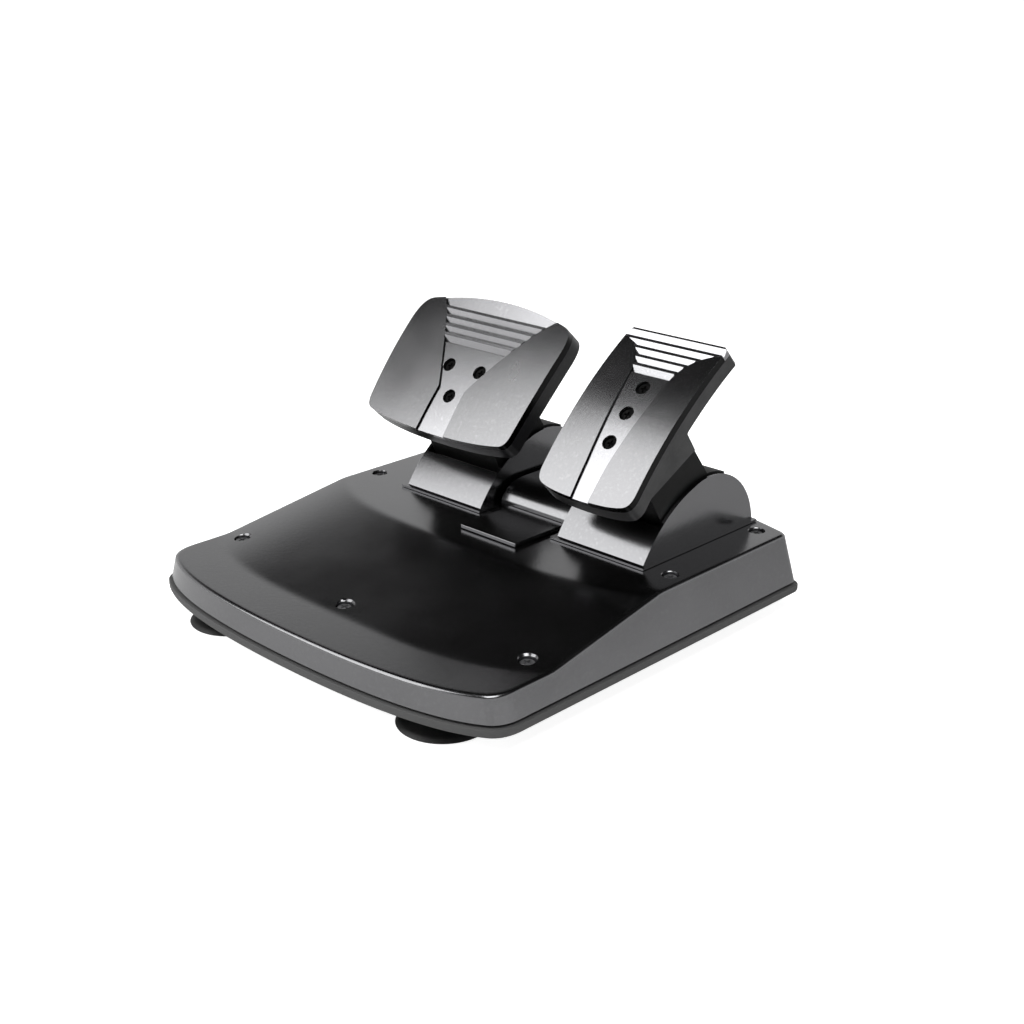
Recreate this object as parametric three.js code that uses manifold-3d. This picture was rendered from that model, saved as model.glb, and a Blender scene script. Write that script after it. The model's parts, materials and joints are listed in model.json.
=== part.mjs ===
// A two-pedal floor unit for driving games: brake on the left, accelerator on the right.
// Millimetres. +X is the driver's right, +Y points away from the driver, +Z is up.
// The origin is on the floor, under the middle of the base.
import * as THREE from "three";
import { mergeVertices } from "three/addons/utils/BufferGeometryUtils.js";
import Module from "manifold-3d";

const wasm = await Module();
wasm.setup();

// ---- Driving dimensions -------------------------------------------------------------------
const GAP = 0.3; // clearance between pieces that touch

// Base, seen from above
const HALF_WIDTH = 125; // of the cover at its lower edge
const HALF_LENGTH = 130.75; // at the middle of the bowed front and rear edges
const FRONT_CORNER = [117, -113]; // where the front bow meets the corner
const SIDE_START = -97; // the sides are straight behind this
const REAR_CORNER_Y = 114.75;
const LIP = 1.5; // the base plate stands out by this much

// Base, heights
const PLATE_BOTTOM = 10.5;
const PLATE_TOP = 15;
const COVER_BOTTOM = 16;
const DECK_Z = 41.7; // flat rear deck
const BAND_Z = 29.3; // flat front band
const WALL = 2.5;

// Top surface: the deck ends and the band begins along two arcs that sweep back at the sides
const DECK_END_Y = -16.75;
const BAND_START_Y = -99.75;
const ARC_SWEEP = 23;
const ARC_HALF_WIDTH = 116;

// Hinge housings
const BRAKE_X = -50.3;
const ACCELERATOR_X = 64.6;
const PIVOT = [76.75, 39]; // y, z of the pedal shafts
const HOUSING_HALF = 28.9;
const HOUSING_FRONT_Y = 22.75;
const CHEEK_R = 38; // the cheeks and the rear hood are round about the shaft
const CHEEK_WALL = 1.8;
const FLANGE = 2.4; // the housing's foot stands out by this much
const HOOD_TOP = 45; // degrees up from the rear where the fixed hood ends

// Pedal arms
const DRUM_R = 39; // round shield between the cheeks
const DRUM_SPAN = [68, 196]; // degrees up from the rear
const ARM_HALF = 26.4;
const ARM_WALL = 3;
const SHAFT_R = 4;
const HUB_R = 8;

// Pedal travel, degrees
const BRAKE_TRAVEL = 16;
const ACCELERATOR_TRAVEL = 20;

// Sensor gears
const GEAR_MODULE = 1.25;
const SECTOR_TEETH = 40; // of the full circle
const PINION_TEETH = 12;
const GEAR_WIDTH = 5;

// Side walls lean in by this much for each millimetre they rise, the end walls by less
const SIDE_LEAN = 0.262;
const END_LEAN = 0.06;

// Fasteners, feet and what the base holds
const COVER_SCREWS = [
  [0, -92],
  [-106.5, -74],
  [106.5, -74],
  [-108, 27],
  [108, 27],
  [-104, 104.7],
  [104, 104.7],
];
const HEAD_R = 4;
const HEAD_DEPTH = 3.6; // of the counterbores
const THREAD_R = 1.7;
const BOSS_R = 6.5;
const BOSS_JOINT_Z = 20;
const CUPS = [
  [-80, -101.5],
  [80, -101.5],
  [-86, 98],
  [86, 98],
];
const CUP_R = 22.5;
const CUP_STEM_R = 3;
const INLET = [0, 27]; // x, z of the cable inlet
const INLET_R = 5;
const INLET_BORE_R = 3.5;
const BOARD_Z = 19;
const BOARD_POSTS = [
  [-28, -25],
  [-28, 7],
  [28, -25],
  [28, 7],
];
const ARM_OPENING_Y = [36, 113.4];

// Bearings, bridge and levers
const LUG_WALL = 2.2;
const BUSH_R = 6.5;
const RUNNING_CLEARANCE = 0.07;
const RAMP_TOP = 152; // degrees up from the rear where the front ramp ends
const BRIDGE_FRONT_Y = 36.5;
const BRIDGE_X = [-18.4, 32.7];
const LEVER_REACH = 26;
const LEVER_UNDER = PIVOT[1] - 6;
const SPRING_Y = 95;
const STOP_Y = 97;

// Pedal faces, measured out from the curved surface of the face plates
const SHELL_FRONT = -4.2;
const SHELL_WALL = 2.3;
const SKIRT = 12.3;
const INSERT_FACE = -1.2;
const RIBS = 5;
const RIB_PEAK = 0.3;
const RIB_ROOT = -2.2;
const FACE_HOLE_R = 4.1;
const SCREW_REACH = 16;

// Sensors
const SENSOR_TURN = 200; // degrees up from the rear, seen from the shaft
const BRACKET_X = [4, 10];

// ---- Materials ----------------------------------------------------------------------------
function finish(color, roughness, metalness = 0) {
  return new THREE.MeshStandardMaterial({ color, roughness, metalness });
}
const SILVER_PAINT = finish(0x8d9095, 0.4, 0.6);
const DARK_PAINT = finish(0x4b4d50, 0.4, 0.5);
const BRIGHT_INSERT = finish(0xd9dbdd, 0.3, 0.6);
const BLACK_PLASTIC = finish(0x141416, 0.5);
const RUBBER = finish(0x0c0c0d, 0.75);
const STEEL = finish(0xa9acb0, 0.3, 1);
const BRASS = finish(0xb08d57, 0.35, 1);
const BOARD_GREEN = finish(0x1d4a30, 0.6);

// ---- Solids -------------------------------------------------------------------------------
function solid(geometry) {
  const bare = geometry.clone();
  bare.deleteAttribute("normal");
  bare.deleteAttribute("uv");
  const merged = mergeVertices(bare, 1e-4);
  return new wasm.Manifold(
    new wasm.Mesh({
      numProp: 3,
      vertProperties: new Float32Array(merged.attributes.position.array),
      triVerts: new Uint32Array(merged.index.array),
    }),
  );
}

function geometryOf(body) {
  const mesh = body.getMesh();
  const geometry = new THREE.BufferGeometry();
  geometry.setAttribute("position", new THREE.BufferAttribute(mesh.vertProperties, 3));
  geometry.setIndex(new THREE.BufferAttribute(mesh.triVerts, 1));
  return geometry;
}

const union = (bodies) => bodies.reduce((whole, next) => whole.add(next));
const cut = (body, tools) => tools.reduce((rest, tool) => rest.subtract(tool), body);

function box(x, y, z) {
  const geometry = new THREE.BoxGeometry(x[1] - x[0], y[1] - y[0], z[1] - z[0]);
  geometry.translate((x[0] + x[1]) / 2, (y[0] + y[1]) / 2, (z[0] + z[1]) / 2);
  return solid(geometry);
}

// Extrudes an outline of [a, b] points by depth along the third axis of a placed frame.
function extrude(points, depth, place) {
  const shape = new THREE.Shape(points.map(([a, b]) => new THREE.Vector2(a, b)));
  const geometry = new THREE.ExtrudeGeometry(shape, { depth, bevelEnabled: false });
  geometry.applyMatrix4(place);
  return solid(geometry);
}

// A side view of [y, z] points, extruded from x0 to x1.
function sideView(points, x0, x1) {
  const place = new THREE.Matrix4().makeBasis(
    new THREE.Vector3(0, 1, 0),
    new THREE.Vector3(0, 0, 1),
    new THREE.Vector3(1, 0, 0),
  );
  return extrude(points, x1 - x0, place.setPosition(x0, 0, 0));
}

// A top view of [x, y] points, extruded from z0 to z1.
function topView(points, z0, z1) {
  return extrude(points, z1 - z0, new THREE.Matrix4().setPosition(0, 0, z0));
}

function circle(radius, sides, [a, b] = [0, 0]) {
  return Array.from({ length: sides }, (_, i) => {
    const turn = (2 * Math.PI * i) / sides;
    return [a + radius * Math.cos(turn), b + radius * Math.sin(turn)];
  });
}

function arc([a, b], radius, from, to, steps) {
  return Array.from({ length: steps + 1 }, (_, i) => {
    const turn = THREE.MathUtils.degToRad(from + ((to - from) * i) / steps);
    return [a + radius * Math.cos(turn), b + radius * Math.sin(turn)];
  });
}

const upright = (x, y, radius, z0, z1, sides = 24) => topView(circle(radius, sides, [x, y]), z0, z1);
const crosswise = (radius, x0, x1, centre = PIVOT, sides = 24) =>
  sideView(circle(radius, sides, centre), x0, x1);

const seenFromTop = ({ x, y }) => new THREE.Vector2(x, y);
const seenFromSide = ({ y, z }) => new THREE.Vector2(y, z);

// Joins flat rings of points, each with the same count, into one closed solid.
function loft(rings, seen) {
  const count = rings[0].length;
  const caps = THREE.ShapeUtils.triangulateShape(rings[0].map(seen), []);
  const index = [];
  for (let r = 0; r + 1 < rings.length; r++) {
    for (let i = 0; i < count; i++) {
      const j = (i + 1) % count;
      const [a, b, c, d] = [r * count + i, r * count + j, (r + 1) * count + j, (r + 1) * count + i];
      index.push(a, b, c, a, c, d);
    }
  }
  const last = (rings.length - 1) * count;
  for (const [a, b, c] of caps) {
    index.push(a, c, b);
    index.push(last + a, last + b, last + c);
  }
  const geometry = new THREE.BufferGeometry().setFromPoints(rings.flat());
  geometry.setIndex(index);
  return facingOut(geometry);
}

// A solid from a geometry whose faces may all point in.
function facingOut(geometry) {
  const body = solid(geometry);
  return body.volume() < 0 ? solid(turnedRound(geometry)) : body;
}

function turnedRound(geometry) {
  const merged = mergeVertices(geometry, 1e-4);
  const index = merged.index.array;
  for (let i = 0; i < index.length; i += 3) {
    [index[i + 1], index[i + 2]] = [index[i + 2], index[i + 1]];
  }
  return merged;
}

// ---- The part's group ---------------------------------------------------------------------
const pedalUnit = new THREE.Group();

function piece(name, body, material) {
  const mesh = new THREE.Mesh(geometryOf(body), material);
  mesh.name = name;
  pedalUnit.add(mesh);
}

// ---- Base ---------------------------------------------------------------------------------
const bezier = (from, control, to, steps) =>
  new THREE.QuadraticBezierCurve(...[from, control, to].map((p) => new THREE.Vector2(...p)))
    .getPoints(steps)
    .map(({ x, y }) => [x, y]);

// Half of the base's outline, from the middle of the front round to the middle of the rear.
function halfOutline() {
  const bow = bezier([0, -HALF_LENGTH], [88, -HALF_LENGTH], FRONT_CORNER, 6);
  const corner = bezier(FRONT_CORNER, [HALF_WIDTH, -109], [HALF_WIDTH, SIDE_START], 4);
  const rear = bezier([HALF_WIDTH - 4, REAR_CORNER_Y], [62, HALF_LENGTH], [0, HALF_LENGTH], 6);
  return [...bow, ...corner.slice(1), [HALF_WIDTH, REAR_CORNER_Y - 4], ...rear];
}

// The outline at a height, moved out by offset. The walls lean in as they rise.
function baseRing(z, offset) {
  const rise = Math.max(0, z - COVER_BOTTOM);
  const wide = (HALF_WIDTH + offset - SIDE_LEAN * rise) / HALF_WIDTH;
  const long = (HALF_LENGTH + offset - END_LEAN * rise) / HALF_LENGTH;
  const right = halfOutline().map(([x, y]) => new THREE.Vector3(x * wide, y * long, z));
  const left = right.slice(1, -1).reverse().map(({ x, y }) => new THREE.Vector3(-x, y, z));
  return [...right, ...left];
}

// The base between two heights; above the cover's lower edge its walls lean in.
function baseBlock(z0, z1, offset) {
  const heights = z0 < COVER_BOTTOM && z1 > COVER_BOTTOM ? [z0, COVER_BOTTOM, z1] : [z0, z1];
  return loft(heights.map((z) => baseRing(z, offset)), seenFromTop);
}

// How far the deck's end and the band's start sweep back at x.
const sweep = (x) => ARC_SWEEP * Math.min(1.3, (Math.abs(x) / ARC_HALF_WIDTH) ** 4);

// Height of the top surface.
function topZ(x, y) {
  const start = BAND_START_Y + sweep(x);
  const share = THREE.MathUtils.clamp((y - start) / (DECK_END_Y - BAND_START_Y), 0, 1);
  return BAND_Z + share * (DECK_Z - BAND_Z);
}

// Everything under the top surface, lowered by drop.
function underTopSurface(drop) {
  const rings = [];
  for (let x = -132; x <= 132; x += 12) {
    const profile = [
      [-150, 0],
      [150, 0],
      [150, DECK_Z - drop],
      [DECK_END_Y + sweep(x), DECK_Z - drop],
      [BAND_START_Y + sweep(x), BAND_Z - drop],
      [-150, BAND_Z - drop],
    ];
    rings.push(profile.map(([y, z]) => new THREE.Vector3(x, y, z)));
  }
  return loft(rings, seenFromSide);
}

function topCover() {
  const outer = baseBlock(COVER_BOTTOM, 50, 0).intersect(underTopSurface(0));
  const hollow = baseBlock(COVER_BOTTOM - 3, 50, -WALL).intersect(underTopSurface(WALL));
  const bosses = union(COVER_SCREWS.map(([x, y]) => upright(x, y, BOSS_R, BOSS_JOINT_Z, 50, 16)));
  const shell = outer.subtract(hollow).add(bosses.intersect(outer));
  const screwHoles = COVER_SCREWS.flatMap(([x, y]) => [
    upright(x, y, HEAD_R + GAP, topZ(x, y) - HEAD_DEPTH, 60, 20),
    upright(x, y, THREAD_R + GAP, 0, 60, 12),
  ]);
  const armOpenings = [BRAKE_X, ACCELERATOR_X].map((x) =>
    box([x - HOUSING_HALF - GAP, x + HOUSING_HALF + GAP], ARM_OPENING_Y, [20, 60]),
  );
  const gearOpening = box([BRAKE_X, ACCELERATOR_X], [49, 92], [20, 60]);
  return cut(shell, [...screwHoles, ...armOpenings, gearOpening, alongY(INLET_R, 110, 140, 20)]);
}

// A cylinder along Y through the cable inlet.
function alongY(radius, y0, y1, sides = 20) {
  const place = new THREE.Matrix4()
    .makeBasis(new THREE.Vector3(0, 0, 1), new THREE.Vector3(1, 0, 0), new THREE.Vector3(0, 1, 0))
    .setPosition(INLET[0], y0, INLET[1]);
  return extrude(circle(radius, sides), y1 - y0, place);
}

function basePlate() {
  const tray = baseBlock(PLATE_BOTTOM, PLATE_TOP, LIP);
  const spigot = baseBlock(PLATE_TOP - 1, PLATE_TOP + 4, -WALL - 1).subtract(
    baseBlock(PLATE_TOP - 2, PLATE_TOP + 5, -WALL - 3),
  );
  const posts = COVER_SCREWS.map(([x, y]) =>
    upright(x, y, BOSS_R, PLATE_TOP - 1, BOSS_JOINT_Z - GAP, 16),
  );
  const boardPosts = BOARD_POSTS.map(([x, y]) => upright(x, y, 3, PLATE_TOP - 1, BOARD_Z - GAP, 12));
  const screwHoles = COVER_SCREWS.map(([x, y]) => upright(x, y, THREAD_R + GAP, 12.5, 40, 12));
  const cupHoles = CUPS.map(([x, y]) => upright(x, y, CUP_STEM_R + GAP, 0, 40, 16));
  return cut(union([tray, spigot, ...posts, ...boardPosts]), [...screwHoles, ...cupHoles]);
}

function lathe(points, sides, x = 0, y = 0) {
  const profile = points.map(([r, z]) => new THREE.Vector2(r, z));
  const geometry = new THREE.LatheGeometry(profile, sides);
  geometry.rotateX(Math.PI / 2);
  geometry.translate(x, y, 0);
  return facingOut(geometry);
}

function suctionCup([x, y]) {
  const profile = [
    [0, 3.4],
    [10, 3],
    [CUP_R - 4, 1],
    [CUP_R - 2.5, 0],
    [CUP_R - 0.5, 0],
    [CUP_R, 0.6],
    [CUP_R - 1.5, 2.4],
    [13, 6],
    [8.5, PLATE_BOTTOM - GAP],
    [CUP_STEM_R, PLATE_BOTTOM - GAP],
    [CUP_STEM_R, PLATE_TOP + GAP],
    [5, PLATE_TOP + GAP],
    [4, PLATE_TOP + 2.6],
    [0, PLATE_TOP + 2.6],
  ];
  return lathe(profile, 24, x, y);
}

function coverScrew([x, y]) {
  const seat = topZ(x, y) - HEAD_DEPTH + GAP;
  const recess = box([x - 0.6, x + 0.6], [y - 2.4, y + 2.4], [seat + 1.1, seat + 9]);
  const cross = box([x - 2.4, x + 2.4], [y - 0.6, y + 0.6], [seat + 1.1, seat + 9]);
  const head = upright(x, y, HEAD_R, seat, seat + 2, 20);
  return cut(head.add(upright(x, y, THREAD_R, 15.5, seat + 1, 12)), [recess, cross]);
}

function cableGrommet() {
  const parts = [alongY(INLET_R - GAP, 124, 131), alongY(7, 130.5, 132.2), alongY(6.6, 124, 127)];
  return union(parts).subtract(alongY(INLET_BORE_R, 120, 140));
}

piece("base_plate", basePlate(), DARK_PAINT);
piece("top_cover", topCover(), SILVER_PAINT);
COVER_SCREWS.forEach((at, i) => piece("cover_screw_" + (i + 1), coverScrew(at), STEEL));
CUPS.forEach((at, i) => piece("suction_cup_" + (i + 1), suctionCup(at), RUBBER));
piece("cable_grommet", cableGrommet(), RUBBER);
piece(
  "circuit_board",
  box([BOARD_POSTS[0][0] - 5, BOARD_POSTS[3][0] + 5], [-30, 12], [BOARD_Z, BOARD_Z + 1.6]),
  BOARD_GREEN,
);

// ---- Hinge housings, bridge and plate -----------------------------------------------------
// The front edge of a cheek, which the ramp follows too.
const rampCurve = () => bezier([HOUSING_FRONT_Y, DECK_Z + GAP], [38, 66], [62, 74.05], 8);

function cheekOutline() {
  const round = arc(PIVOT, CHEEK_R, 108, 4.5, 12);
  return [...rampCurve(), ...round];
}

function bearingLug(x0, x1) {
  const [y, z] = PIVOT;
  return box([x0, x1], [y - 12, y + 12], [z - 12, DECK_Z + 2]);
}

function hingeHousing(centre) {
  const [left, right] = [centre - HOUSING_HALF, centre + HOUSING_HALF];
  const whole = sideView(cheekOutline(), left, right);
  const inside = [left + CHEEK_WALL, right - CHEEK_WALL];
  const hollow = sideView(
    [
      [HOUSING_FRONT_Y + 4, 30],
      ...rampCurve().map(([y, z]) => [y + 2, z - 1.6]),
      ...arc(PIVOT, CHEEK_R - 2, 108, -2, 12),
      [PIVOT[0] + CHEEK_R - 2, 30],
    ],
    ...inside,
  );
  const mouth = sideView(
    [PIVOT, ...arc(PIVOT, 60, HOOD_TOP, RAMP_TOP, 6)],
    ...inside,
  );
  const foot = box(
    [left - FLANGE, right + FLANGE],
    [HOUSING_FRONT_Y - FLANGE, PIVOT[0] + CHEEK_R + 1],
    [DECK_Z + GAP, DECK_Z + GAP + 1.1],
  ).subtract(box([left + 1, right - 1], [HOUSING_FRONT_Y + 3, PIVOT[0] + CHEEK_R - 1.2], [0, 60]));
  const lugs = [bearingLug(left, left + LUG_WALL), bearingLug(right - LUG_WALL, right)];
  const shell = cut(whole, [hollow, mouth]).add(foot);
  return cut(union([shell, ...lugs]), [crosswise(BUSH_R + GAP, left - 5, right + 5)]);
}

function centreBridge() {
  const back = PIVOT[0] + CHEEK_R - 3;
  const outer = [
    [BRIDGE_FRONT_Y, DECK_Z + GAP],
    [BRIDGE_FRONT_Y + 0.4, 46],
    ...bezier([38.6, 48.3], [44, 55.2], [56, 55.2], 5),
    ...bezier([back - 12, 55.2], [back, 55.2], [back, DECK_Z + GAP], 5),
  ];
  const inner = outer.map(([y, z]) => {
    const middle = (BRIDGE_FRONT_Y + back) / 2;
    return [middle + (y - middle) * 0.95, z > 45 ? z - 2 : z - 5];
  });
  const hollow = sideView(inner, BRIDGE_X[0] + 2, BRIDGE_X[1] - 2);
  return cut(sideView(outer, ...BRIDGE_X), [hollow, crosswise(SHAFT_R + 1, ...BRIDGE_X)]);
}

function centrePlate() {
  return box([-10.8, 29.2], [-1.75, BRIDGE_FRONT_Y - GAP], [DECK_Z + GAP, DECK_Z + 2.5]);
}

const bush = (x0, x1) =>
  crosswise(BUSH_R, x0, x1).subtract(crosswise(SHAFT_R + RUNNING_CLEARANCE, x0 - 1, x1 + 1));

piece("brake_housing", hingeHousing(BRAKE_X), SILVER_PAINT);
piece("accelerator_housing", hingeHousing(ACCELERATOR_X), SILVER_PAINT);
piece("centre_bridge", centreBridge(), SILVER_PAINT);
piece("centre_plate", centrePlate(), DARK_PAINT);

// ---- Pedals -------------------------------------------------------------------------------
// A face that bulges a little towards the driver. u runs across it, v up its chord from the
// foot, and h stands out from its curved surface.
class PedalFace {
  constructor(centre, foot, head, bulge) {
    this.centre = centre;
    this.foot = new THREE.Vector2(...foot);
    const chord = new THREE.Vector2(...head).sub(this.foot);
    this.length = chord.length();
    this.up = chord.normalize();
    this.out = new THREE.Vector2(-this.up.y, this.up.x);
    this.radius = (this.length ** 2 / 4 + bulge ** 2) / (2 * bulge);
    this.hub = this.foot.clone()
      .addScaledVector(this.up, this.length / 2)
      .addScaledVector(this.out, bulge - this.radius);
  }

  at(v, h) {
    const sine = (v - this.length / 2) / this.radius;
    const point = this.hub.clone()
      .addScaledVector(this.up, (this.radius + h) * sine)
      .addScaledVector(this.out, (this.radius + h) * Math.sqrt(1 - sine * sine));
    return [point.x, point.y];
  }

  // The point at v along the chord and h above the flat chord itself.
  flat(v, h) {
    const point = this.foot.clone().addScaledVector(this.up, v).addScaledVector(this.out, h);
    return [point.x, point.y];
  }

  run(v0, v1, h, steps = 8) {
    return Array.from({ length: steps + 1 }, (_, i) => this.at(v0 + ((v1 - v0) * i) / steps, h));
  }

  band(v0, v1, h0, h1, x0, x1) {
    return sideView([...this.run(v0, v1, h1), ...this.run(v0, v1, h0).reverse()], x0, x1);
  }

  column(outline, h0 = -60, h1 = 20) {
    const place = new THREE.Matrix4().makeBasis(
      new THREE.Vector3(1, 0, 0),
      new THREE.Vector3(0, this.up.x, this.up.y),
      new THREE.Vector3(0, this.out.x, this.out.y),
    );
    place.setPosition(this.centre, ...this.flat(0, h0));
    return extrude(outline, h1 - h0, place);
  }
}

const mirrored = (half) => [...half, ...half.slice(1, -1).reverse().map(([u, v]) => [-u, v])];
const widened = (half, by) => half.map(([u, v]) => [u === 0 ? 0 : u + by, v]);

const ACCELERATOR = {
  name: "accelerator",
  centre: ACCELERATOR_X,
  travel: ACCELERATOR_TRAVEL,
  face: new PedalFace(ACCELERATOR_X, [10.05, 79.5], [77.75, 140.8], 4),
  rim: [
    ...bezier([0, -5.2], [20, -5.2], [27, -2.4], 4),
    ...bezier([29.6, -1.2], [30.9, 0], [30.9, 5], 3),
    [31.3, 60],
    [31.3, 95],
    [29.6, 96.8],
    [0, 96.8],
  ],
  insert: [
    [0, -6],
    [5.4, -6],
    [6.4, 15],
    ...bezier([8, 35], [9, 48], [12.6, 70], 4),
    ...bezier([14.4, 76], [18.5, 87], [31.3, 91], 4).slice(1),
    [32, 98],
    [0, 98],
  ],
  top: 96.8,
  neck: [14, 52],
  ribStart: 69.8,
  ribPitch: 5.4,
  ribEnd: 97.4,
  plateTop: 91,
  holes: [
    [0, 28],
    [0, 45.6],
    [0, 62],
  ],
  // Edge of the shell's side, from its lower tip to the notch behind the middle
  gusset: [
    [-7, -13.4],
    [9.7, -11.5],
    [47.9, -22],
    [49.7, -8.4],
  ],
};

const BRAKE = {
  name: "brake",
  centre: BRAKE_X,
  travel: BRAKE_TRAVEL,
  face: new PedalFace(BRAKE_X, [17.75, 88.5], [64.25, 137.8], 1.5),
  rim: [
    ...bezier([0, -7.4], [32, -7.4], [50, -3.6], 5),
    ...bezier([53.4, -2.6], [54.8, -1], [55, 4], 3),
    ...bezier([56, 18], [57.8, 35], [57.6, 56], 3),
    ...bezier([57.2, 64], [57, 70], [50.5, 71.6], 4),
    ...bezier([43.5, 73.2], [24, 78.4], [0, 78.4], 5),
  ],
  insert: [
    [0, -9],
    [10.4, -9],
    [9.7, 20],
    ...bezier([13, 27], [24, 45.5], [34, 63], 2),
    ...bezier([38.6, 69.5], [41, 72.4], [46, 76], 2),
    [46, 80],
    [0, 80],
  ],
  top: 78.4,
  neck: [8, 46],
  ribStart: 46.3,
  ribPitch: 5.6,
  ribEnd: 82.4,
  plateTop: 76,
  holes: [
    [-11.7, 33.6],
    [11.7, 33.6],
    [0, 16],
  ],
  gusset: null,
};

// The shell's side view: its front follows the face and its back is a skirt's depth behind.
function shellSide({ face, top, gusset }) {
  const front = face.run(-10, top + 6, SHELL_FRONT);
  const back = face.run(gusset ? gusset.at(-1)[0] : -10, top + 6, -SKIRT, 6).reverse();
  const lower = gusset ? gusset.map(([v, h]) => face.flat(v, h)).reverse() : [];
  return [...front, ...back, ...lower];
}

function holeColumns({ face, holes }, radius) {
  return holes.map(([u, v]) => face.column(circle(radius, 20, [u, v]), -SCREW_REACH));
}

function pedalShell(pedal) {
  const { face, centre, rim, top } = pedal;
  const wide = [centre - 70, centre + 70];
  const whole = face.column(mirrored(rim)).intersect(sideView(shellSide(pedal), ...wide));
  const innerRim = rim.map(([u, v]) => [
    u * (1 - SHELL_WALL / rim[Math.floor(rim.length / 2)][0]),
    v < top / 2 ? v + SHELL_WALL : v - SHELL_WALL,
  ]);
  const hollow = face.column(mirrored(innerRim)).intersect(
    face.band(-20, top + 20, -50, SHELL_FRONT - SHELL_WALL, ...wide),
  );
  return cut(whole, [hollow, ...holeColumns(pedal, THREAD_R + GAP)]);
}

function facePlates(pedal) {
  const { face, centre, rim, insert, plateTop } = pedal;
  const slab = face.column(mirrored(rim))
    .intersect(face.band(-20, plateTop, SHELL_FRONT + GAP, 0, centre - 70, centre + 70))
    .subtract(face.column(mirrored(widened(insert, GAP))));
  return [
    slab.intersect(box([centre - 80, centre - 1], [-50, 200], [0, 200])),
    slab.intersect(box([centre + 1, centre + 80], [-50, 200], [0, 200])),
  ];
}

// The centre strip, with steps that rise towards the driver's heel across its upper part.
function ribbedInsert(pedal) {
  const { face, centre, insert, rim, ribStart, ribPitch, ribEnd, top } = pedal;
  const line = face.run(-10, ribStart, INSERT_FACE);
  for (let i = 0; i < RIBS; i++) {
    const end = i === RIBS - 1 ? ribEnd : ribStart + (i + 1) * ribPitch;
    line.push(face.at(ribStart + i * ribPitch, RIB_ROOT), face.at(end, RIB_PEAK));
  }
  const back = face.run(-10, top + 4, SHELL_FRONT + GAP).reverse();
  const strip = sideView([...line, ...back], centre - 70, centre + 70);
  const shape = face.column(mirrored(insert)).intersect(face.column(mirrored(rim)));
  return cut(strip.intersect(shape), holeColumns(pedal, FACE_HOLE_R));
}

function faceScrew({ face }, [u, v]) {
  const head = face.column(circle(FACE_HOLE_R - 0.5, 16, [u, v])).intersect(
    face.band(v - 8, v + 8, SHELL_FRONT + GAP, SHELL_FRONT + GAP + 1.3, -200, 200),
  );
  const thread = face.column(circle(THREAD_R, 12, [u, v])).intersect(
    face.band(v - 8, v + 8, 1 - SCREW_REACH, SHELL_FRONT + GAP + 0.5, -200, 200),
  );
  return head.add(thread);
}

// Side view of an arm: a round shield about the shaft, and a neck up to the shell's back.
function armSide(pedal, inset) {
  const { face, neck } = pedal;
  const shelf = SHELL_FRONT - SHELL_WALL - GAP - inset;
  const shield = sideView(
    [PIVOT, ...arc(PIVOT, DRUM_R - inset, DRUM_SPAN[0] - inset, DRUM_SPAN[1] + inset, 16)],
    pedal.centre - ARM_HALF + inset,
    pedal.centre + ARM_HALF - inset,
  );
  const [y, z] = PIVOT;
  const rise = sideView(
    [
      face.at(neck[0] + inset, shelf),
      face.at(neck[1] - inset, shelf),
      [y + 1 - inset * 1.3, z + DRUM_R - 2 - inset],
      [y, z + 5],
      [y - DRUM_R + 6 + inset, z + 16 - inset],
    ].reverse(),
    pedal.centre - ARM_HALF + inset,
    pedal.centre + ARM_HALF - inset,
  );
  return shield.add(rise);
}

function pedalArm(pedal) {
  const { centre, holes, face } = pedal;
  const [y, z] = PIVOT;
  const hollow = armSide(pedal, ARM_WALL);
  const skirt = sideView(
    [...arc(PIVOT, CHEEK_R - 3, 40, 72, 5), ...arc(PIVOT, CHEEK_R - 5.5, 72, 40, 5)],
    centre - ARM_HALF,
    centre + ARM_HALF,
  );
  const hub = crosswise(HUB_R, centre - ARM_HALF, centre + ARM_HALF);
  const lever = box([centre - 15, centre + 15], [y + 3, y + LEVER_REACH], [z - 6, z - 1]);
  const bosses = holes.map(([u, v]) =>
    face.column(circle(5, 12, [u, v]), -17, 0).intersect(armSide(pedal, 0)),
  );
  const body = union([armSide(pedal, 0).subtract(hollow), skirt, hub, lever, ...bosses]);
  const clear = [crosswise(SHAFT_R + GAP, centre - 40, centre + 40), ...holeColumns(pedal, THREAD_R + GAP)];
  return cut(body, clear);
}

// ---- Position sensors ---------------------------------------------------------------------
function gearTooth(pitchR, turn, thick) {
  const reach = [pitchR - 1.3 * GEAR_MODULE, pitchR, pitchR + 0.9 * GEAR_MODULE];
  const share = [1.25, 0.92, 0.42];
  const side = reach.map((r, i) => [r, (share[i] * thick) / 2 / r]);
  const corners = [...side.map(([r, a]) => [r, turn - a]), ...side.reverse().map(([r, a]) => [r, turn + a])];
  return corners.map(([r, a]) => [r * Math.cos(a), r * Math.sin(a)]);
}

const TOOTH_THICKNESS = (Math.PI * GEAR_MODULE) / 2 - 0.25;

function moved(points, [y, z]) {
  return points.map(([a, b]) => [a + y, b + z]);
}

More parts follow.
